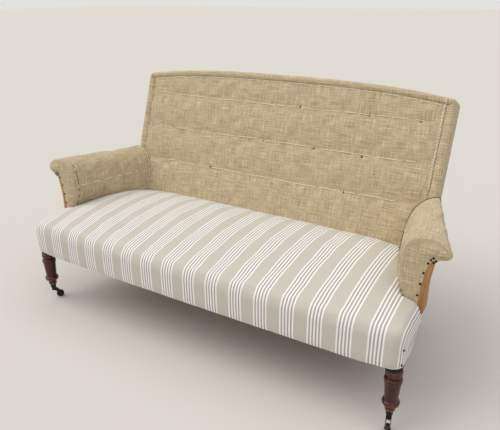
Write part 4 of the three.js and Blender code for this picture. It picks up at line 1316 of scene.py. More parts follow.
@dataclass(frozen=True)
class ArmForm:
    """Sections of an arm, as shares of its width and height. They go from the foot of its inner face over
    its roll to the rail under the roll."""

    front_y: float = -225
    front_inner: float = 728
    front_outer: float = 884
    front_top: float = 622
    back_inner: float = 625
    back_outer: float = 739
    back_top: float = 592
    foot: float = 345
    behind: float = 28
    front_shares: Pairs = (
        (0.185, 0), (0.165, 0.235), (0.055, 0.38), (0, 0.578), (0.02, 0.758), (0.09, 0.885), (0.235, 0.964),
        (0.46, 1), (0.71, 0.989), (0.89, 0.942), (0.985, 0.877), (1, 0.812), (0.92, 0.765), (0.78, 0.752),
        (0.6, 0.748))
    back_shares: Pairs = (
        (0, 0), (0.01, 0.19), (0.05, 0.385), (0.105, 0.567), (0.2, 0.709), (0.342, 0.822), (0.518, 0.903),
        (0.71, 0.96), (0.85, 0.988), (0.93, 1), (0.98, 0.985), (1, 0.95), (1, 0.91), (1, 0.87), (1, 0.83))
    steps: int = 5

    def front_section(self) -> Array:
        """X and Z of the section at the front."""
        return spread(through(self.front_shares, self.steps), (self.front_inner, self.front_outer),
                      (self.foot, self.front_top))

    def back_section(self) -> Array:
        """X and Z of the section behind the face of the back."""
        return spread(through(self.back_shares, self.steps), (self.back_inner, self.back_outer),
                      (self.foot, self.back_top))

    def inner_at(self, y: float, z: float, back: BackForm) -> float:
        """X of the inner face at a place along the arm and a height.

        Args:
            y: Place along the arm.
            z: Height.
            back: The back that the arm ends at.

        Returns:
            X of the face.
        """
        share = (y - self.front_y) / (back.plane_y(z) + self.behind - self.front_y)
        section = (1 - share) * self.front_section() + share * self.back_section()
        face = section[:6 * self.steps]
        return float(np.interp(z, face[:, 1], face[:, 0]))


@dataclass
class Arm:
    """One arm: scrim with a stitched bead at its front over stuffing, and a bare stump with its tacks."""

    side: Side
    form: ArmForm = ArmForm()
    back: BackForm = BackForm()
    twine: Twine = Twine()
    edge_radius: float = 9
    bead_place: float = 9
    bead_rise: float = 3.0
    bead_groove: float = 3.0
    near_rows: tuple[float, ...] = (8, 9.5, 11.5, 13.5, 15, 16.5, 18, 19.5, 21.5, 24, 28, 34)
    sleeve_length: float = 400
    tuck: float = 10
    row_pull: float = 2.0
    row_height: float = 512
    lumps: float = 1.1
    lump_size: tuple[float, float] = (130, 110)
    crease_height: float = 566
    stump_inner: float = 762
    stump_outer: float = 872
    stump_foot: float = 338.3
    stump_top: float = 598
    stump_front: float = -223.2
    stump_rear: float = -181.2
    stump_shares: Pairs = (
        (0, 0), (0.005, 0.23), (0.03, 0.5), (0.08, 0.78), (0.14, 0.92), (0.325, 0.985), (0.615, 1),
        (0.884, 0.96), (0.971, 0.905), (0.923, 0.875), (0.807, 0.855), (0.711, 0.81), (0.65, 0.73),
        (0.6, 0.6), (0.565, 0.48), (0.555, 0.37), (0.56, 0.24), (0.555, 0.12), (0.5, 0.05), (0.287, 0))
    facing_rows: int = 22
    facing_seam: float = 13
    facing_seam_width: float = 2.6
    facing_groove: float = 3.4
    facing_puff: float = 2.4
    lip: float = 2.2
    pleats: float = 1.5
    cloth_edge: Pairs = (
        (800, 345), (802, 395), (804, 430), (807, 462), (811, 492), (817, 520), (829, 545))
    tacks: Pairs = (
        (796, 383), (798, 420), (803, 462), (808, 502), (818, 538), (832, 560), (841, 552), (826, 553),
        (834, 546), (795, 362))

    def mirrored(self, points: Array) -> Array:
        """Puts points of the right arm on this side."""
        return np.asarray(points, float) * [self.side.value, 1, 1]

    def skin(self, inset: float = 0.0) -> tuple[Array, Array]:
        """Builds the rows of the arm's cloth, from the tacks at its front to its end at the back.

        Args:
            inset: How far inside the scrim.

        Returns:
            Points in rows, and places on the flat cloth.
        """
        rows = [*self.facing(inset), *self.front_edge(inset), *self.sleeve(inset)]
        points, lays = zip(*rows)
        return self.mirrored(np.array(points)), np.array(lays)

    def facing(self, inset: float) -> Rows:
        """Yields the rows of the front facing, from the tacks outward, and their places on the cloth.

        Args:
            inset: How far inside the scrim.

        Returns:
            Points and flat places of each row in turn.
        """
        form = self.form
        front = form.front_section()
        index = np.arange(len(front))
        edge_line = through(self.cloth_edge, 8)
        top = int(np.argmax(front[:, 1]))
        climb = np.interp(index, [0, top * 0.62, top, len(front) - 1], [0, 0.9, 1, 1]) * (len(edge_line) - 1)
        tacked = np.stack([np.interp(climb, np.arange(len(edge_line)), edge_line[:, i]) for i in (0, 1)], 1)
        inner_edge = grown(front, self.edge_radius + inset)
        for t in np.linspace(0, 1, self.facing_rows + 1)[:-1]:
            flat = tacked + (inner_edge - tacked) * t
            x, z = flat.T
            to_edge = np.linalg.norm(inner_edge - flat, axis=1)
            seam = (self.facing_groove * hump(to_edge, self.facing_seam, self.facing_seam_width)
                    - self.lip * hump(to_edge, 5, 5))
            folds = np.sin(index * 0.9) * math.sin(math.pi * t) ** 0.7
            pleats = self.pleats * eased((index - 32) / 14) * folds
            crease = self.crease_height + 0.05 * (x - 820)
            bulge = 1 + 2.4 * eased((x - 802) / 20) * eased((z - crease) / 7)
            puff = -self.facing_puff * bulge * math.sin(math.pi * min(1, t * 1.04)) ** 0.8
            y = (form.front_y + puff + pleats + seam * (1 - eased((index - 34) / 9))
                 + 2.2 * eased((t - 0.78) / 0.2))
            y = np.minimum(y, self.stump_front - CLOTH - FIT) + inset
            yield joined(x, y, z), joined(z - form.foot, form.front_inner - x)

    def front_edge(self, inset: float) -> Rows:
        """Yields the rows of the rounded edge between facing and sleeve, and their places on the cloth.

        Args:
            inset: How far inside the scrim.

        Returns:
            Points and flat places of each row in turn.
        """
        front = self.form.front_section()
        for turn in np.linspace(0, math.pi / 2, 6)[:-1]:
            bent = grown(front, (self.edge_radius + inset) - (self.edge_radius * math.sin(turn)))
            y = self.form.front_y + inset + self.edge_radius * (1 - math.cos(turn))
            yield joined(bent[:, 0], y, bent[:, 1]), joined(run_length(front), self.edge_radius * turn)

    def sleeve(self, inset: float) -> Rows:
        """Yields the rows from the front edge to the back, and their places on the cloth.

        Args:
            inset: How far inside the scrim.

        Returns:
            Points and flat places of each row in turn.
        """
        form = self.form
        front, rear = form.front_section(), form.back_section()
        index = np.arange(len(front))
        around = run_length(front)
        reach = self.back.plane_y(rear[:, 1]) + form.behind - form.front_y
        end = (self.back.plane_y(rear[:, 1]) + 2 - form.front_y) / reach
        inside = 0.2 + 0.8 * (1 - eased((index - 24) / 10))
        near = np.array(self.near_rows) / self.sleeve_length
        for share in [*near, *np.linspace(0.1, 0.955, 44), 0.97, 0.978, 0.984, 0.99, 0.995, 1.0]:
            along = share * end
            distance = share * self.sleeve_length
            section = front + (rear - front) * along[:, None]
            bead = inside * self.bead_groove * hump(distance, self.bead_place + 9.5, 3.0)
            ring = -inside * self.bead_rise * hump(distance, self.bead_place, 5)
            tuck = self.tuck * max(0.0, (share - 0.972) / 0.028) ** 1.5
            on_face = hump(section[:, 1], self.row_height - 14 * share, 8) * (index < 32)
            pull = self.row_pull * on_face * eased((share - 0.06) / 0.06) * (1 - eased((share - 0.8) / 0.1))
            lumps = self.lumps * rough_wave(around + 300 * share, self.lump_size[0], 11) * rough_wave(
                distance + 0 * around, self.lump_size[1], 13) * (1 - tuck / self.tuck)
            section = grown(section, inset + bead + ring + tuck + pull + lumps)
            yield (joined(section[:, 0], form.front_y + along * reach, section[:, 1]),
                   joined(around * (1 - 0.25 * share), distance + self.edge_radius + 5))

    def scrim(self) -> None:
        """Builds the hessian over the arm."""
        points, lay = self.skin()
        held = np.zeros(points.shape[:2], bool)
        edge = self.facing_rows
        held[:edge + 18], held[-8:] = True, True
        held[:, :3], held[:, -4:] = True, True
        held[edge:, :30] |= (np.abs(points[..., 2] - 505) < 5)[edge:, :30]
        piece = cloth_piece(f"arm_cover_scrim_{self.side.word}", points, (0, 0, 1), lay,
                            settling=Settling(growth=0.008, pressure=0.1), held=held.ravel())
        dress(piece, HESSIAN, "hessian", f"arm_scrim_{self.side.word}")

    def pad(self) -> None:
        """Builds the stuffing under the scrim."""
        points, _ = self.skin(UNDER_CLOTH)
        outer = points[self.facing_rows + 1:-3]
        middle = outer[:, 4:-4].mean(axis=1, keepdims=True)
        core = outer + (middle - outer) * 0.42
        piece = closed_slab(f"arm_pad_{self.side.word}", outer, core)
        dress(piece, COIR, "stuffing", f"arm_stuffing_{self.side.word}")

    def stump(self) -> None:
        """Builds the bare wooden stump, with its sawn outline and eased edges."""
        outline = spread(
            through(self.stump_shares + self.stump_shares[:1], 5)[:-1],
            (self.stump_inner, self.stump_outer), (self.stump_foot, self.stump_top))
        piece = prism(f"arm_stump_wood_{self.side.word}", outline, lambda a, b, z: self.mirrored(
            joined(a, b, z)), self.stump_front, self.stump_rear, 1.6)
        dress(piece, STUMP_WOOD, "beech", f"arm_stump_{self.side.word}")

    def cloth_between(self, name: str, foot_x: tuple[float, float], top_x: tuple[float, float],
                      heights: tuple[float, float], outward: float, reach_back: float) -> Piece:
        """Builds a cloth from the stump to the back, on one side of the arm's rails.

        Args:
            name: Name of the piece.
            foot_x: X of its lower part at the stump and at the back.
            top_x: X of its upper part there.
            heights: Heights of its foot and top.
            outward: 1 if its outer face looks away from the seat, -1 if it looks to it.
            reach_back: How far it goes behind the face of the back.

        Returns:
            The piece.
        """
        t, z = np.meshgrid(np.linspace(0, 1, 44), np.linspace(*heights, 46))
        rear = self.back.plane_y(z) + reach_back
        y = self.stump_rear + t * (rear - self.stump_rear)
        foot = foot_x[0] + t * (foot_x[1] - foot_x[0])
        top = top_x[0] + t * (top_x[1] - top_x[0])
        share = unit((z - 360) / 160) ** 1.6
        x = foot + (top - foot) * share - outward * 1.5 * np.sin(math.pi * t)
        return cloth_piece(name, self.mirrored(joined(x, y, z)), (self.side.value * outward, 0, 0))

    def side_cloths(self) -> None:
        """Builds the cloth outside the arm and the lining inside it."""
        word = self.side.word
        outside = self.cloth_between(f"arm_outer_cloth_{word}", (791, 742), (823, 744), (252, 562), 1, 54)
        dress(outside, HESSIAN, "hessian", f"outside_arm_cloth_{word}")
        lining = self.cloth_between(f"arm_inner_lining_{word}", (768, 712), (790, 720), (352, 558), -1, 31)
        dress(lining, HESSIAN, "hessian", f"arm_lining_{word}")

    def fastenings(self) -> None:
        """Drives the tacks in at the front, sews the rows inside and round the bead, and lays dark cord as
        painted shade in the bead groove and, on the right, along the joint with the back.
        """
        word = self.side.word
        points, _ = self.skin()
        facing = points[:self.facing_rows].reshape(-1, 3)
        heads = []
        for x, z in self.tacks:
            near = np.hypot(facing[:, 0] - self.side.value * x, facing[:, 2] - z) < 7
            heads.append((self.side.value * x, facing[near, 1].min(initial=self.form.front_y) - 0.5, z))
        Tack().drive(f"arm_front_tacks_{word}", heads, [(0, -1, 0)] * len(heads))
        draw = random.Random(12 + self.side.value)
        faces = points[self.facing_rows + 6:]
        dashes = []
        inward = np.array([-self.side.value, 0, 0.2])
        row = 9
        while row < len(faces) - 14:
            reach = row + draw.randint(3, 7)
            line = []
            for r in range(row, min(reach, len(faces) - 13)):
                section = faces[r][:30]
                level = self.row_height - 2 - 14 * r / len(faces)
                line.append([np.interp(level, section[:, 2], section[:, i]) for i in range(3)])
            if len(line) > 2:
                dashes.append(self.twine.dash(through(line, 3), inward))
            row = reach + draw.randint(0, 2)
        for start in range(8, 34, 3):
            if draw.random() < 0.6:
                line = faces[5][start:start + 3]
                dashes.append(self.twine.dash(through(line, 3), inward))
        self.twine.sew(f"arm_stitches_{word}", dashes)
        # A dark cord in the bead groove, as painted shade.
        groove = points[self.facing_rows + 12][2:29]
        line = points[-6]
        off = line - line.mean(axis=0)
        line = line + off / np.linalg.norm(off, axis=1, keepdims=True)
        self.twine.sew(f"arm_edge_seam_{word}", [tube(groove, 1.1, 6)], DARK_CORD)
        # On the right a dark cord along the joint with the back, as painted shade; on the left light ladder
        # stitches.
        if self.side is Side.RIGHT:
            self.twine.sew(f"arm_back_seam_{word}", [tube(line, 1.6, 6)], DARK_CORD)
            return
        ladder = [self.twine.dash(line[i:i + 6], inward) for i in range(6, 44, 6)]
        self.twine.sew(f"arm_back_seam_{word}", ladder)


def prism(name: str, outline: Array, place: Callable[[Array, Array, Array], Array], start: float,
          end: float, easing: float) -> Piece:
    """Cuts a flat piece from a board and eases its edges.

    Args:
        name: Name of the piece.
        outline: Its outline, in two coordinates.
        place: Turns the first coordinate, the depth and the second coordinate to a place in the room.
        start: Depth of one face.
        end: Depth of the other.
        easing: Width of the bevel along its edges.

    Returns:
        The piece.
    """
    count = len(outline)
    points = np.vstack([
        place(outline[:, 0], np.full(count, depth), outline[:, 1]) for depth in (start, end)])
    faces = [tuple(range(count)), tuple(reversed(range(count, 2 * count)))]
    faces += [(i, (i + 1) % count, (i + 1) % count + count, i + count) for i in range(count)]
    piece = new_piece(name, points, faces)
    close_up(piece)
    add_bevel(piece, easing, 3, 40)
    apply_changes(piece)
    smooth(piece, 35)
    return piece


def add_bevel(piece: Piece, width: float, segments: int, degrees: float) -> None:
    """Gives a piece a bevel of some segments along the edges that turn more than some degrees.

    Args:
        piece: The piece.
        width: Width of the bevel, in millimetres.
        segments: Steps across it.
        degrees: The turn that an edge has to pass.
    """
    bevel = piece.modifiers.new("eased_edges", "BEVEL")
    bevel.width = width * MM
    bevel.segments = segments
    bevel.limit_method = "ANGLE"
    bevel.angle_limit = math.radians(degrees)


# The seat


@dataclass
class Seat:
    """The sprung seat under its striped cover."""

    arm: ArmForm = ArmForm()
    back: BackForm = BackForm()
    half: float = 820
    front_y: float = -420
    arm_y: float = -225
    edge_height: float = 388
    crown: float = 42
    equator: float = 336
    roll_radius: float = 30
    roll_power: float = 2.2
    corner: float = 42
    bow: float = 6
    bow_reach: float = 120
    corner_dip: float = 13
    lumps: float = 1.2
    lump_size: tuple[float, float] = (210, 150)
    tuck: float = 15
    tuck_reach: float = 11
    hem: float = 246
    hem_lift: float = 8
    hem_lift_reach: float = 140
    side_rise: float = 94
    # Share of the drop, way back under the rail and drop below the hem of each row that is turned under.
    turned_under: tuple[Triple, ...] = ((1.0, 6.5, 1.5), (1.0, 12.0, 1.8), (1.0, 24.0, 0.6))
    pleat_run: float = 34
    crown_curve: Pairs = (
        (-0.01, 0), (0.03, 0.02), (0.055, 0.08), (0.12, 0.3), (0.22, 0.54), (0.35, 0.79), (0.55, 1),
        (0.75, 0.96), (0.9, 0.74), (1, 0.45), (1.05, 0.35))
    corner_tacks: tuple[Triple, ...] = ((816.5, -395, 322), (815.5, -396, 268))

    def surface(self, x: Array, v: Array, away: Array) -> Array:
        """Height of the seat.

        Args:
            x: Places along the sofa.
            v: Distances behind the front edge.
            away: Distances from the nearest edge.

        Returns:
            Heights.
        """
        depth = v / (self.back.base_y - self.front_y)
        rise = self.crown * read_curve(self.crown_curve, depth) * (1 - np.abs(x / self.half) ** 12)
        fall = self.fall(unit(1 - away / self.roll_radius))
        dip = self.corner_dip * unit(np.abs(x) / 625) ** 6 * unit(depth) ** 4
        wide, deep = self.lump_size
        lumps = self.lumps * rough_wave(x + 0.3 * v, wide, 21) * rough_wave(v - 0.2 * x, deep, 23)
        return self.edge_height + rise - fall - dip + lumps * eased(away / 60)

    def fall(self, share: Array) -> Array:
        """How far the rolled edge falls at a share of its way out."""
        power = self.roll_power
        return (self.edge_height - self.equator) * (1 - (1 - share ** power) ** (1 / power))

    def layout(self) -> tuple[SkirtedGrid, int, int, float]:
        """Lays out the grid of the cover.

        Returns:
            The grid, the row at the front of the arms, the first column between the arms, and X there.
        """
        inner = self.arm.inner_at(self.arm_y, 411, self.back) - FIT
        edge = rolled_steps(self.roll_radius, 9)
        across = from_side_to_side(go_on(edge, (self.half - inner, 7), (self.half, 78)))
        depth = self.arm_y - FIT - self.front_y
        rear = self.back.plane_y(404) - 1 - self.front_y
        inward = go_on(edge, (depth - 12, 17), (depth, 7), (rear - 12, 38), (rear, 7))
        return (SkirtedGrid(across, inward, self.corner), int(np.argmin(np.abs(inward - depth))),
                int(np.argmin(np.abs(across + inner))), inner)

    def top(self, inset: float) -> tuple[Array, Array, Array, Array, Array]:
        """Builds the top of the seat.

        Args:
            inset: How far below the cover.

        Returns:
            Points, distance behind the front, distance from the edge, turn of the edge and distance from
            the arms and the back.
        """
        grid, arm_row, _, inner = self.layout()
        u, v, away, turn = grid.plan()
        x, gap = u.copy(), np.full(u.shape, 1e3)
        for row in range(arm_row + 1, u.shape[0]):
            reach = self.arm.inner_at(self.front_y + v[row, 0], 408, self.back) - FIT - inset
            x[row] = u[row] * reach / inner
            gap[row] = reach - np.abs(x[row])
        y = self.front_y + v + self.bow * (x / self.half) ** 2 * unit(1 - v / self.bow_reach)
        z = self.surface(x, v, away)
        beside = np.where(np.abs(u) > inner - 1, self.arm_y - FIT - y, 1e3)
        nearest = np.minimum(np.minimum(self.back.plane_y(z) - y, gap), np.maximum(beside, 0))
        z = z - self.tuck * unit(1 - nearest / self.tuck_reach) ** 2 - inset
        return joined(x, y, z), v, away, turn, nearest

    def edge_lay(self, turn: Array) -> Array:
        """Place across the flat cloth along the widest line of the edge, from the front round a corner."""
        quarter = turn / (math.pi / 2)
        return self.half - self.corner + self.corner * turn + self.corner_excess() * quarter ** 2

    def corner_excess(self) -> float:
        """What the cloth of a corner lacks, so that it meets that of the side."""
        return self.corner + self.side_excess() - self.corner * math.pi / 2

    def side_excess(self) -> float:
        """How much longer the cloth is over the rolled edge than the edge is wide."""
        return self.roll_length(np.array([0.0]))[0] - self.roll_radius

    def roll_length(self, away: Array) -> Array:
        """Length of the cloth from the inner line of the rolled edge to a distance from the edge."""
        steps = self.roll_radius * np.linspace(1, 0, 60) ** 2
        fall = self.fall(1 - steps / self.roll_radius)
        return np.interp(-away, -steps, run_length(joined(steps, fall)))

    def cover(self) -> None:
        """Builds the striped cover over the top, the front and the sides, with its hem turned under."""
        grid, arm_row, first, _ = self.layout()
        top, v, away, turn, gap = self.top(0)
        x, y = top[..., 0], top[..., 1]
        outline_x = self.half - self.corner + self.corner * np.sin(turn)
        held = np.clip(away, 0, self.roll_radius)
        pull = (self.roll_length(held) - (self.roll_radius - held)) / self.side_excess() * (turn > 0)
        lay = joined(np.sign(x) * (np.abs(x) + (self.edge_lay(turn) - outline_x) * pull), y)
        points, lays = [top.reshape(-1, 3)], [lay.reshape(-1, 2)]
        columns = x.shape[1]
        faces = [f for f in grid_faces(*x.shape)
                 if f[0] // columns < arm_row or first <= f[0] % columns < columns - 1 - first]
        rows, cols = np.array(grid.outline(arm_row)).T
        edge_x, edge_y, edge_turn = x[rows, cols], y[rows, cols], turn[rows, cols]
        run = np.maximum(0, v[rows, cols] - self.corner) * (rows > 0)
        out_x, out_y = np.sign(edge_x) * np.sin(edge_turn), -np.cos(edge_turn)
        bottom = self.hem_height(edge_x, edge_y, edge_turn)
        shares = np.concatenate([np.linspace(0.08, 0.92, 11), [0.965, 1.0]])
        levels = [(s, eased((s - 0.55) / 0.3) + 3.0 * eased((s - 0.75) / 0.25) ** 2, 0.0) for s in shares]
        levels += self.turned_under
        under = edge_y < self.arm_y - 70
        for share, back_off, lower in levels:
            height = self.equator + (bottom - self.equator) * share - lower * under
            ripple = 0.6 * rough_wave(edge_x + edge_y, 75, 31) * share
            reach = -ripple - np.where(under, back_off, min(back_off, 5))
            points.append(joined(edge_x + out_x * reach, edge_y + out_y * reach, height))
            drop = self.equator - height
            past = np.where(run < self.pleat_run, run * np.minimum(1, drop / 25), drop) * (run > 0)
            round_it = np.sign(edge_x) * (self.edge_lay(edge_turn) + past)
            lays.append(joined(
                np.where(edge_turn > 0, round_it, edge_x), edge_y - drop * (edge_turn < 1.5)))
        hang_skirt(faces, list(rows * columns + cols), x.size, len(levels))
        held = (gap < 9) | (away < 4)
        held = np.concatenate([held.ravel(), np.ones(len(rows) * len(levels), bool)])
        piece = cloth_piece("seat_top_cover", np.vstack(points), (0, 0, 1), np.vstack(lays), faces,
                            Settling(growth=0.0022, pressure=0.02, bending=2.0), held)
        dress(piece, TICKING, "ticking", "seat_cover")

    def hem_height(self, x: Array, y: Array, turn: Array) -> Array:
        """Height of the lower edge of the cover."""
        lift = self.hem_lift * unit((np.abs(x) - (self.half - self.hem_lift_reach)) / self.hem_lift_reach)
        rise = self.side_rise * unit((y - (self.front_y + 120)) / 75) * (turn > 1.5)
        return np.minimum(self.hem + lift + rise, self.equator - 5)

    def pad(self) -> None:
        """Builds the stuffing under the cover, down to the canvas over the springs."""
        points = self.top(UNDER_CLOTH)[0]
        _, arm_row, first, _ = self.layout()
        middle = np.array([0, -130])
        shrunk = points.copy()
        shrunk[..., :2] = middle + (points[..., :2] - middle) * 0.994
        last = len(points) - 1
        for row in range(arm_row, len(points)):
            limit = abs(shrunk[min(row + 1, last), first, 0])
            shrunk[row, :, 0] = np.clip(shrunk[row, :, 0], -limit, limit)
        low = shrunk.copy()
        low[..., 2] = np.minimum(shrunk[..., 2] - 4, 376)
        piece = closed_slab("seat_pad", shrunk, low)
        dress(piece, COIR, "stuffing", "seat_stuffing")

    def corner_fastenings(self) -> None:
        """Drives the tacks in at the front corners."""
        for side in Side:
            centre = np.array([self.half - self.corner, self.front_y + self.corner + self.bow], float)
            places, outward = [], []
            for x, y, z in self.corner_tacks:
                away = np.array([x, y], float) - centre
                away /= np.linalg.norm(away)
                spot = centre + away * (self.corner + 1.5)
                places.append((side.value * spot[0], spot[1], z))
                outward.append((side.value * away[0], away[1], 0))
            Tack().drive(f"seat_corner_tacks_{side.word}", places, outward)


@dataclass
class SeatInside:
    """Webbing, springs with their lashing and canvas, seen from below."""

    rows: tuple[str, ...] = ("front", "middle", "back")
    springs_in_row: int = 7
    spring_pitch: float = 200
    spring_width: float = 94
    spring_waist: float = 58
    wire: float = 2.0
    turns: float = 4.5
    web_width: float = 50
    web_pitch: float = 100
    web_height: float = 250.8
    web_ends: tuple[float, float] = (-392, 192)
    web_tacks: tuple[float, ...] = (-18, -9, 0, 9, 18)
    outer_web: float = 600
    fold: float = 26
    lashing_ends: tuple[float, float] = (-394, 170)
    lashing_radius: float = 2.2
    lift: float = 1.4
    rail_outside: float = 785
    rail_splay: float = 0.13
    rail_thickness: float = 28.3

    def rail_x(self, y: Array | float, inset: float) -> Array | float:
        """X of a line along the side rail, inset from its outer face."""
        return self.rail_outside - self.rail_splay * (y + 181) - inset

    def row_y(self, row: str) -> float:
        """Y of a row of springs."""
        low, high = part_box(f"spring_row_{row}")
        return (low.y + high.y) / 2 / MM

    def spring_places(self) -> list[float]:
        """X of each spring of a row."""
        last = (self.springs_in_row - 1) / 2
        return [(i - last) * self.spring_pitch for i in range(self.springs_in_row)]

    def springs(self) -> None:
        """Winds the hourglass springs of each row and lashes them down with cord."""
        for row in self.rows:
            low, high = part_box(f"spring_row_{row}")
            bottom, top = low.z / MM + self.wire, high.z / MM - self.wire - 3
            y = self.row_y(row)
            share = np.linspace(0, 1, int(self.turns * 26) + 1)
            flare = np.abs(2 * share - 1) ** 1.4
            waist = self.spring_waist + (self.spring_width - self.spring_waist) * flare
            radius = waist / 2 - self.wire
            angle = 2 * math.pi * self.turns * share
            climb = (0.86 * unit((share - 0.2) / 0.6)
                     + 0.07 * (unit(share / 0.2) + unit((share - 0.8) / 0.2)))
            coils = [tube(joined(x + radius * np.cos(angle), y + radius * np.sin(angle),
                                 bottom + (top - bottom) * climb), self.wire, 7)
                     for x in self.spring_places()]
            one_of_many(f"seat_springs_{row}", coils, SPRING_STEEL, "spring_steel", f"spring_row_{row}")
        self.lash()

    def lash(self) -> None:
        """Ties the tops of the springs with cord from rail to rail."""
        cords = []
        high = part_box("spring_row_middle")[1].z / MM - 2.5
        for row in self.rows:
            reach = self.rail_x(self.row_y(row), self.rail_thickness - 3)
            x = np.linspace(-reach, reach, 120)
            z = high - 34 * unit((np.abs(x) - 640) / (reach - 640)) ** 1.4 + 0.8 * np.sin(x / 16)
            cords.append(tube(joined(x, self.row_y(row), z), self.lashing_radius, 6))
        y = np.linspace(*self.lashing_ends, 70)
        drop = unit((-y - 320) / 74) + unit((y - 130) / 60)
        cords += [tube(joined(x, y, high + 1.5 - 30 * drop ** 1.3), self.lashing_radius, 6)
                  for x in self.spring_places()]
        one_of_many("spring_lashing_cord", cords, TWINE, "jute_webbing")

    def webbing(self) -> None:
        """Weaves the webs under the seat, folds their ends back and tacks them to the rails."""
        count = int(2 * self.outer_web / self.web_pitch) + 1
        across = [(i - (count - 1) / 2) * self.web_pitch for i in range(count)]
        rows = [self.row_y(row) for row in self.rows]
        straps, tacks = [], []
        for i, x in enumerate(across):
            y = np.linspace(*self.web_ends, 90)
            sign = [(-1) ** (i + j) for j in range(len(rows))]
            z = self.web_height + self.lift * np.interp(y, [self.web_ends[0], *rows, self.web_ends[1]], [
                0, *sign, 0]) * np.minimum(1, np.min([np.abs(y - e) for e in self.web_ends], axis=0) / 60)
            straps.append(self.strap(joined(x, y, z), (1, 0, 0)))
            for end, turn in zip(self.web_ends, (1, -1)):
                fold = joined(x, np.linspace(end, end + turn * self.fold, 8), self.web_height - 2)
                straps.append(self.strap(fold, (1, 0, 0)))
                tacks += [(x + side, end + turn * (9 + 4 * (k % 2)), self.web_height - 3)
                          for k, side in enumerate(self.web_tacks)]
        for j, y in enumerate(rows):
            web_reach = self.rail_x(y, 22)
            x = np.linspace(-web_reach, web_reach, 240)
            known = [(-1) ** (i + j + 1) for i in range(count)]
            z = self.web_height + self.lift * np.interp(x, [-web_reach, *across, web_reach], [0, *known, 0])
            straps.append(self.strap(joined(x, y, z), (0, 1, 0)))
            tacks += [(-turn * (web_reach - 9), y + side, self.web_height - 1.4)
                      for turn in (1, -1) for side in self.web_tacks]
        points, lays, faces, start = [], [], [], 0
        for part, lay in straps:
            rows_count, columns = part.shape[:2]
            points.append(part.reshape(-1, 3))
            lays.append(lay.reshape(-1, 2))
            faces += grid_faces(rows_count, columns, start)
            start += rows_count * columns
        piece = cloth_piece("seat_webs", np.vstack(points), (0, 0, -1), np.vstack(lays), faces)
        dress(piece, WEBBING, "jute_webbing", "seat_webbing")
        Tack(3.2).drive("web_tacks", tacks, [(0, 0, -1)] * len(tacks))

    def strap(self, line: Array, across: Sequence[float]) -> tuple[Array, Array]:
        """Lays one web along a line.

        Args:
            line: The middle of the web.
            across: The direction of its width.

        Returns:
            Points and places on the flat web, in rows.
        """
        width = np.linspace(-self.web_width / 2, self.web_width / 2, 5)
        points = line[:, None] + width[:, None] * np.asarray(across, float)
        return points, joined(width, run_length(line)[:, None])

    def canvas(self) -> None:
        """Lays the canvas over the springs."""
        low, high = (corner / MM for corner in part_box("spring_canvas"))
        across, y = np.meshgrid(np.linspace(-1, 1, 110), np.linspace(low.y + 1, high.y - 1, 44))
        x = across * self.rail_x(y, self.rail_thickness + 1)
        share = (y - low.y) / (high.y - low.y)
        dome = (1 - np.abs(across) ** 10) * unit(np.minimum(share / 0.14, (1 - share) / 0.1))
        z = low.z + 1.6 + (high.z - low.z - 3) * eased(dome)
        piece = cloth_piece("spring_top_canvas", joined(x, y, z), (0, 0, 1))
        dress(piece, CANVAS, "hessian", "spring_canvas")


# The wood and the castors


@dataclass
class FrontLeg:
    """A turned and polished front leg with a square head."""

    side: Side
    x: float = 790
    y: float = -375
    radius: float = 29
    foot: float = 58.3
    toe: float = 58
    shoulder: float = 236
    top: float = 338
    block: float = 48
    chamfer: float = 14
    profile_shares: Pairs = (
        (0.33, 0.045), (0.45, 0.06), (0.58, 0.1), (0.6, 0.14), (0.5, 0.185), (0.52, 0.205), (0.66, 0.212),
        (0.92, 0.228), (0.99, 0.258), (0.97, 0.295), (0.86, 0.316), (0.8, 0.322), (0.775, 0.34),
        (0.78, 0.4), (0.83, 0.52), (0.9, 0.67), (0.905, 0.705), (0.96, 0.712), (1, 0.735), (1, 0.78),
        (0.94, 0.806), (0.78, 0.812), (0.72, 0.84), (0.78, 0.868), (0.93, 0.874), (0.95, 0.91),
        (0.93, 0.965), (0.8, 0.985))

    def build(self) -> None:
        """Turns the leg and sets its square head on it."""
        turning = spread(through(self.profile_shares, 4), (0, self.radius), (self.toe, self.shoulder))
        profile = np.vstack([(9.4, self.foot), (9.5, 65.4), turning, (23, self.shoulder + 0.5)])
        sides = 56
        points, faces = lathe(profile, (self.side.value * self.x, self.y), sides)
        # Beads stand out from the smoothed profile and grooves sink into it: the beads come out lighter, as
        # rubbing and painted highlight, and the grooves darker, as dirt and painted shade.
        near = np.convolve(np.pad(profile[:, 0], 5, mode="edge"), np.ones(11) / 11, mode="valid")
        wear = np.repeat(np.clip((profile[:, 0] - near) / 2.6, -0.9, 0.9), sides)
        turned = new_piece(f"leg_turning_{self.side.word}", points, faces, wear=wear)
        close_up(turned)
        smooth(turned, 45)
        dress(turned, MAHOGANY, "mahogany", f"front_leg_{self.side.word}")
        half, cut = self.block / 2, self.chamfer
        outline = np.array([
            (-half, -half), (half - cut, -half), (half, -half + cut), (half, half), (-half, half)])
        # The head gets the near-black finish, which is painted shade.
        head = prism(f"leg_head_{self.side.word}", outline, lambda a, b, c: joined(
            self.side.value * (self.x + a), self.y + c, b), self.shoulder + 0.4, self.top, 1.5)
        dress(head, LEG_HEAD, "mahogany", f"front_leg_{self.side.word}")


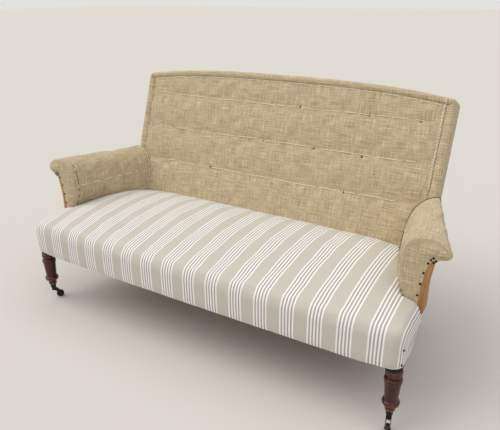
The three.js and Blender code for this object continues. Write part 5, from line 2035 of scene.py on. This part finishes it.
@dataclass
class Castor:
    """A castor: a cup on the toe, a horn that swivels under it and a wheel on its axle."""

    corner: str
    cup_bottom: float = 52
    cup_rim: float = 66
    cup_radius: float = 11.5
    horn_top: float = 51.7
    horn_bottom: float = 41.3
    horn_radius: float = 8.5
    horn_width: float = 18.2
    cheek: float = 2.6
    trail: float = 25
    axle_height: float = 16.297
    axle_radius: float = 2.5
    head_radius: float = 3.7
    wheel_radius: float = 16.28
    wheel_width: float = 12
    recess: float = 1.8
    cheek_outline: Pairs = (
        (-8.4, 41.5), (-8.4, 44.6), (-6, 45.8), (8, 45.8), (13.5, 44.4), (19, 38.6), (24.5, 31), (29, 24.5),
        (30.3, 17.5), (28.6, 12.9), (25, 11.3), (21.4, 12.9), (19.6, 17.5), (16.6, 24.5), (11.5, 31.5),
        (5, 37.5), (-3, 41))

    def frame_of(self) -> tuple[Array, Array]:
        """Finds the foot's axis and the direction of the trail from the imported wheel.

        Returns:
            X and Y of the foot's axis, and the direction, of length 1.
        """
        low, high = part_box(f"castor_cup_{self.corner}")
        foot = np.array((low + high) / 2)[:2] / MM
        low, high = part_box(f"castor_wheel_{self.corner}")
        trail = np.array((low + high) / 2)[:2] / MM - foot
        return foot, trail / np.linalg.norm(trail)

    def place(self, along: Array, across: Array, height: Array) -> Array:
        """Turns places on the castor into places in the room.

        Args:
            along: Distances from the foot's axis, along the trail.
            across: Distances to its left side.
            height: Heights.

        Returns:
            The points.
        """
        foot, trail = self.frame_of()
        side = np.array([-trail[1], trail[0]])
        flat = foot + np.multiply.outer(along, trail) + np.multiply.outer(across, side)
        return np.concatenate([flat, np.asarray(height)[..., None]], -1)

    def on_axle(self, profile: Array, sides: int) -> Shell:
        """Turns a profile of radius and place about the axle."""
        points, faces = lathe(profile, (0, 0), sides)
        return self.place(self.trail + points[:, 0], points[:, 2], self.axle_height + points[:, 1]), faces

    def build(self) -> None:
        """Builds cup, horn, axle and wheel; the cup rides on the sofa, the axle on the horn's body, and horn
        and wheel each on its own body.
        """
        name, foot = self.corner, self.frame_of()[0]
        cup = new_piece(f"castor_socket_{name}", *lathe(np.array([
            (4, self.cup_bottom), (8.5, self.cup_bottom), (10.6, self.cup_bottom + 0.6),
            (self.cup_radius, self.cup_bottom + 2.4), (self.cup_radius, self.cup_rim - 3.2),
            (self.cup_radius + 0.7, self.cup_rim - 2.6), (self.cup_radius + 0.7, self.cup_rim - 0.8),
            (self.cup_radius, self.cup_rim), (9.9, self.cup_rim), (9.9, self.cup_rim - 6), (4, 59)]),
            tuple(foot), 40))
        self.finish(cup, "sofa", "castor_cup")
        hub = lathe(np.array([
            (7.5, self.horn_bottom + 3.6), (self.horn_radius, self.horn_bottom + 4.6),
            (self.horn_radius, self.horn_top - 2), (7.6, self.horn_top - 0.6), (6, self.horn_top),
            (4.4, self.horn_top)]), tuple(foot), 36)
        horn = new_piece(f"castor_fork_{name}", *hub)
        self.finish(horn, f"horn_{name}", "castor_horn")
        shares = through(self.cheek_outline + self.cheek_outline[:1], 3)[:-1]
        outer = self.horn_width / 2
        for side in (-1, 1):
            cheek = prism(f"castor_cheek_{name}_{'near' if side < 0 else 'far'}", shares, self.place,
                          side * (outer - self.cheek), side * outer, 0.7)
            self.finish(cheek, f"horn_{name}", "castor_horn")
        bridge = prism(f"castor_bridge_{name}", np.array([
            (-8.3, 41.6), (-8.3, 44.4), (-6.2, 45.6), (8, 45.6), (13.2, 44.3), (16, 41.6)]),
            self.place, -outer + 0.1, outer - 0.1, 0.7)
        self.finish(bridge, f"horn_{name}", "castor_horn")
        end = outer + 1.5
        axle = new_piece(f"castor_pin_{name}", *self.on_axle(both_ways([
            (1.2, -end), (3, -end + 0.3), (self.head_radius, -outer - 0.35),
            (self.axle_radius, -outer - 0.3)]), 20))
        self.finish(axle, f"horn_{name}", "castor_axle")
        half, rim = self.wheel_width / 2, self.wheel_radius
        wheel = new_piece(f"castor_roller_{name}", *self.on_axle(both_ways([
            (2.9, -half), (5.2, -half), (6.4, -half + self.recess), (11.6, -half + self.recess),
            (13.2, -half), (14.8, -half + 0.2), (rim, -half + 2)]), 56))
        self.finish(wheel, f"wheel_{name}", "castor_wheel")

    def finish(self, piece: Piece, body: str, node: str) -> None:
        """Closes a piece, shades it smooth between its sharp edges and blacks it."""
        close_up(piece)
        smooth(piece, 35)
        dress(piece, BLACK_IRON, "cast_iron", f"{node}_{self.corner}", body=body)


@dataclass
class Frame:
    """The sawn beech frame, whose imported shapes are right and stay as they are."""

    sawn: tuple[str, ...] = (
        "front_seat_rail", "back_seat_rail", "side_seat_rail_{}", "front_corner_brace_{}",
        "rear_corner_brace_{}", "back_top_rail", "back_lower_rail", "back_upright_{}", "arm_top_rail_{}",
        "arm_lower_rail_{}")
    posts: tuple[str, ...] = ("back_leg_{}",)
    easing: float = 1.2

    def build(self) -> None:
        """Dresses the rails, braces and posts."""
        for pattern, finish in [(p, BEECH) for p in self.sawn] + [(p, BACK_LEG) for p in self.posts]:
            names = {pattern.format(side.word) for side in Side}
            for name in sorted(names):
                coat(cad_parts[name], finish)
                add_bevel(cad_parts[name], self.easing, 2, 50)
                log.info("%s: packed shape, %s", name, finish.name)
        coat(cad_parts["back_webbing"], COIR)


# The studio


@dataclass
class Studio:
    """A pale floor, soft lamps and the camera of the photograph."""

    eye: Triple = (1101.34, -1749.96, 1312.13)
    azimuth: float = 0.54273855
    elevation: float = 0.39768924
    roll: float = -0.00627950
    focal_pixels: float = 535.056
    width_pixels: float = 500

    def camera(self) -> None:
        """Puts the camera where the photograph was taken."""
        look = Vector((-math.sin(self.azimuth) * math.cos(self.elevation),
                       math.cos(self.azimuth) * math.cos(self.elevation), -math.sin(self.elevation)))
        right = look.cross(Vector((0, 0, 1))).normalized()
        up = right.cross(look)
        turned_right = math.cos(self.roll) * right + math.sin(self.roll) * up
        turned_up = -math.sin(self.roll) * right + math.cos(self.roll) * up
        data = bpy.data.cameras.new("camera")
        data.sensor_width = 36
        data.lens = self.focal_pixels / self.width_pixels * data.sensor_width
        data.clip_start, data.clip_end = 0.05, 100
        camera = place_object("camera", data)
        axes = Matrix((turned_right, turned_up, -look)).transposed().to_4x4()
        camera.matrix_world = Matrix.Translation(Vector(self.eye) * MM) @ axes
        bpy.context.scene.camera = camera

    def floor(self) -> None:
        """Lays the floor."""
        reach = 40000
        floor = new_piece("floor", np.array([
            (-reach, -reach, 0), (reach, -reach, 0), (reach, reach, 0), (-reach, reach, 0)]), [(0, 1, 2, 3)])
        material = bpy.data.materials.new("painted_floor_matt")
        material.use_nodes = True
        tree = material.node_tree
        shader = tree.nodes["Principled BSDF"]
        shader.inputs["Roughness"].default_value = 0.9
        shader.inputs["Base Color"].default_value = linear("d6d2cc")
        floor.data.materials.append(material)

    def lamp(self, name: str, place: Triple, breadth: float, strength: float, colour: str) -> None:
        """Hangs a far, wide lamp, whose light is even all over the floor.

        Args:
            name: Name of the lamp.
            place: The direction that it shines from.
            breadth: How wide it is seen from the sofa, in degrees.
            strength: Its strength.
            colour: Its colour.
        """
        data = bpy.data.lights.new(name, "SUN")
        data.angle = math.radians(breadth)
        data.energy = strength
        data.color = linear(colour)[:3]
        lamp = place_object(name, data)
        lamp.location = place
        lamp.rotation_mode = "QUATERNION"
        lamp.rotation_quaternion = (-Vector(place)).to_track_quat("-Z", "Y")

    def light(self) -> None:
        """Lights the room from above and from a window at the left."""
        world = bpy.data.worlds.new("room")
        bpy.context.scene.world = world
        world.use_nodes = True
        tree = world.node_tree
        tree.nodes.clear()
        seen = add_node(tree, "LightPath")
        rays = math_node(tree, "MAXIMUM", (seen, "Is Camera Ray"), math_node(
            tree, "MAXIMUM", (seen, "Is Glossy Ray"), (seen, "Is Transmission Ray")))
        room = add_node(tree, "Background", {"Color": linear("f1f1f1"), "Strength": 0.42})
        backdrop = add_node(tree, "Background", {"Color": linear("e4e2df"), "Strength": 1.0})
        mixed = add_node(tree, "MixShader", links={0: rays, 1: (room, 0), 2: (backdrop, 0)})
        add_node(tree, "OutputWorld", links={"Surface": (mixed, 0)})
        self.lamp("window", (-2.6, -1.5, 3.4), 50, 1.5, "fffaf4")
        self.lamp("ceiling", (0.9, -0.4, 3.6), 90, 1.15, "ffffff")


def main() -> None:
    """Builds the sofa and its studio."""
    logging.basicConfig(level=logging.INFO, format="%(name)s %(message)s")
    bpy.context.scene.view_settings.view_transform = "Standard"
    studio = Studio()
    studio.camera()
    Frame().build()
    for side in Side:
        FrontLeg(side).build()
    for corner in ("front_left", "front_right", "back_left", "back_right"):
        Castor(corner).build()
    inside = SeatInside()
    inside.webbing()
    inside.springs()
    inside.canvas()
    seat = Seat()
    seat.pad()
    seat.cover()
    seat.corner_fastenings()
    back = Back()
    back.pad()
    back.scrim()
    back.outside_cloth()
    back.stitches()
    for side in Side:
        arm = Arm(side)
        arm.stump()
        arm.side_cloths()
        arm.pad()
        arm.scrim()
        arm.fastenings()
    studio.floor()
    studio.light()


if __name__ == "__main__":
    main()
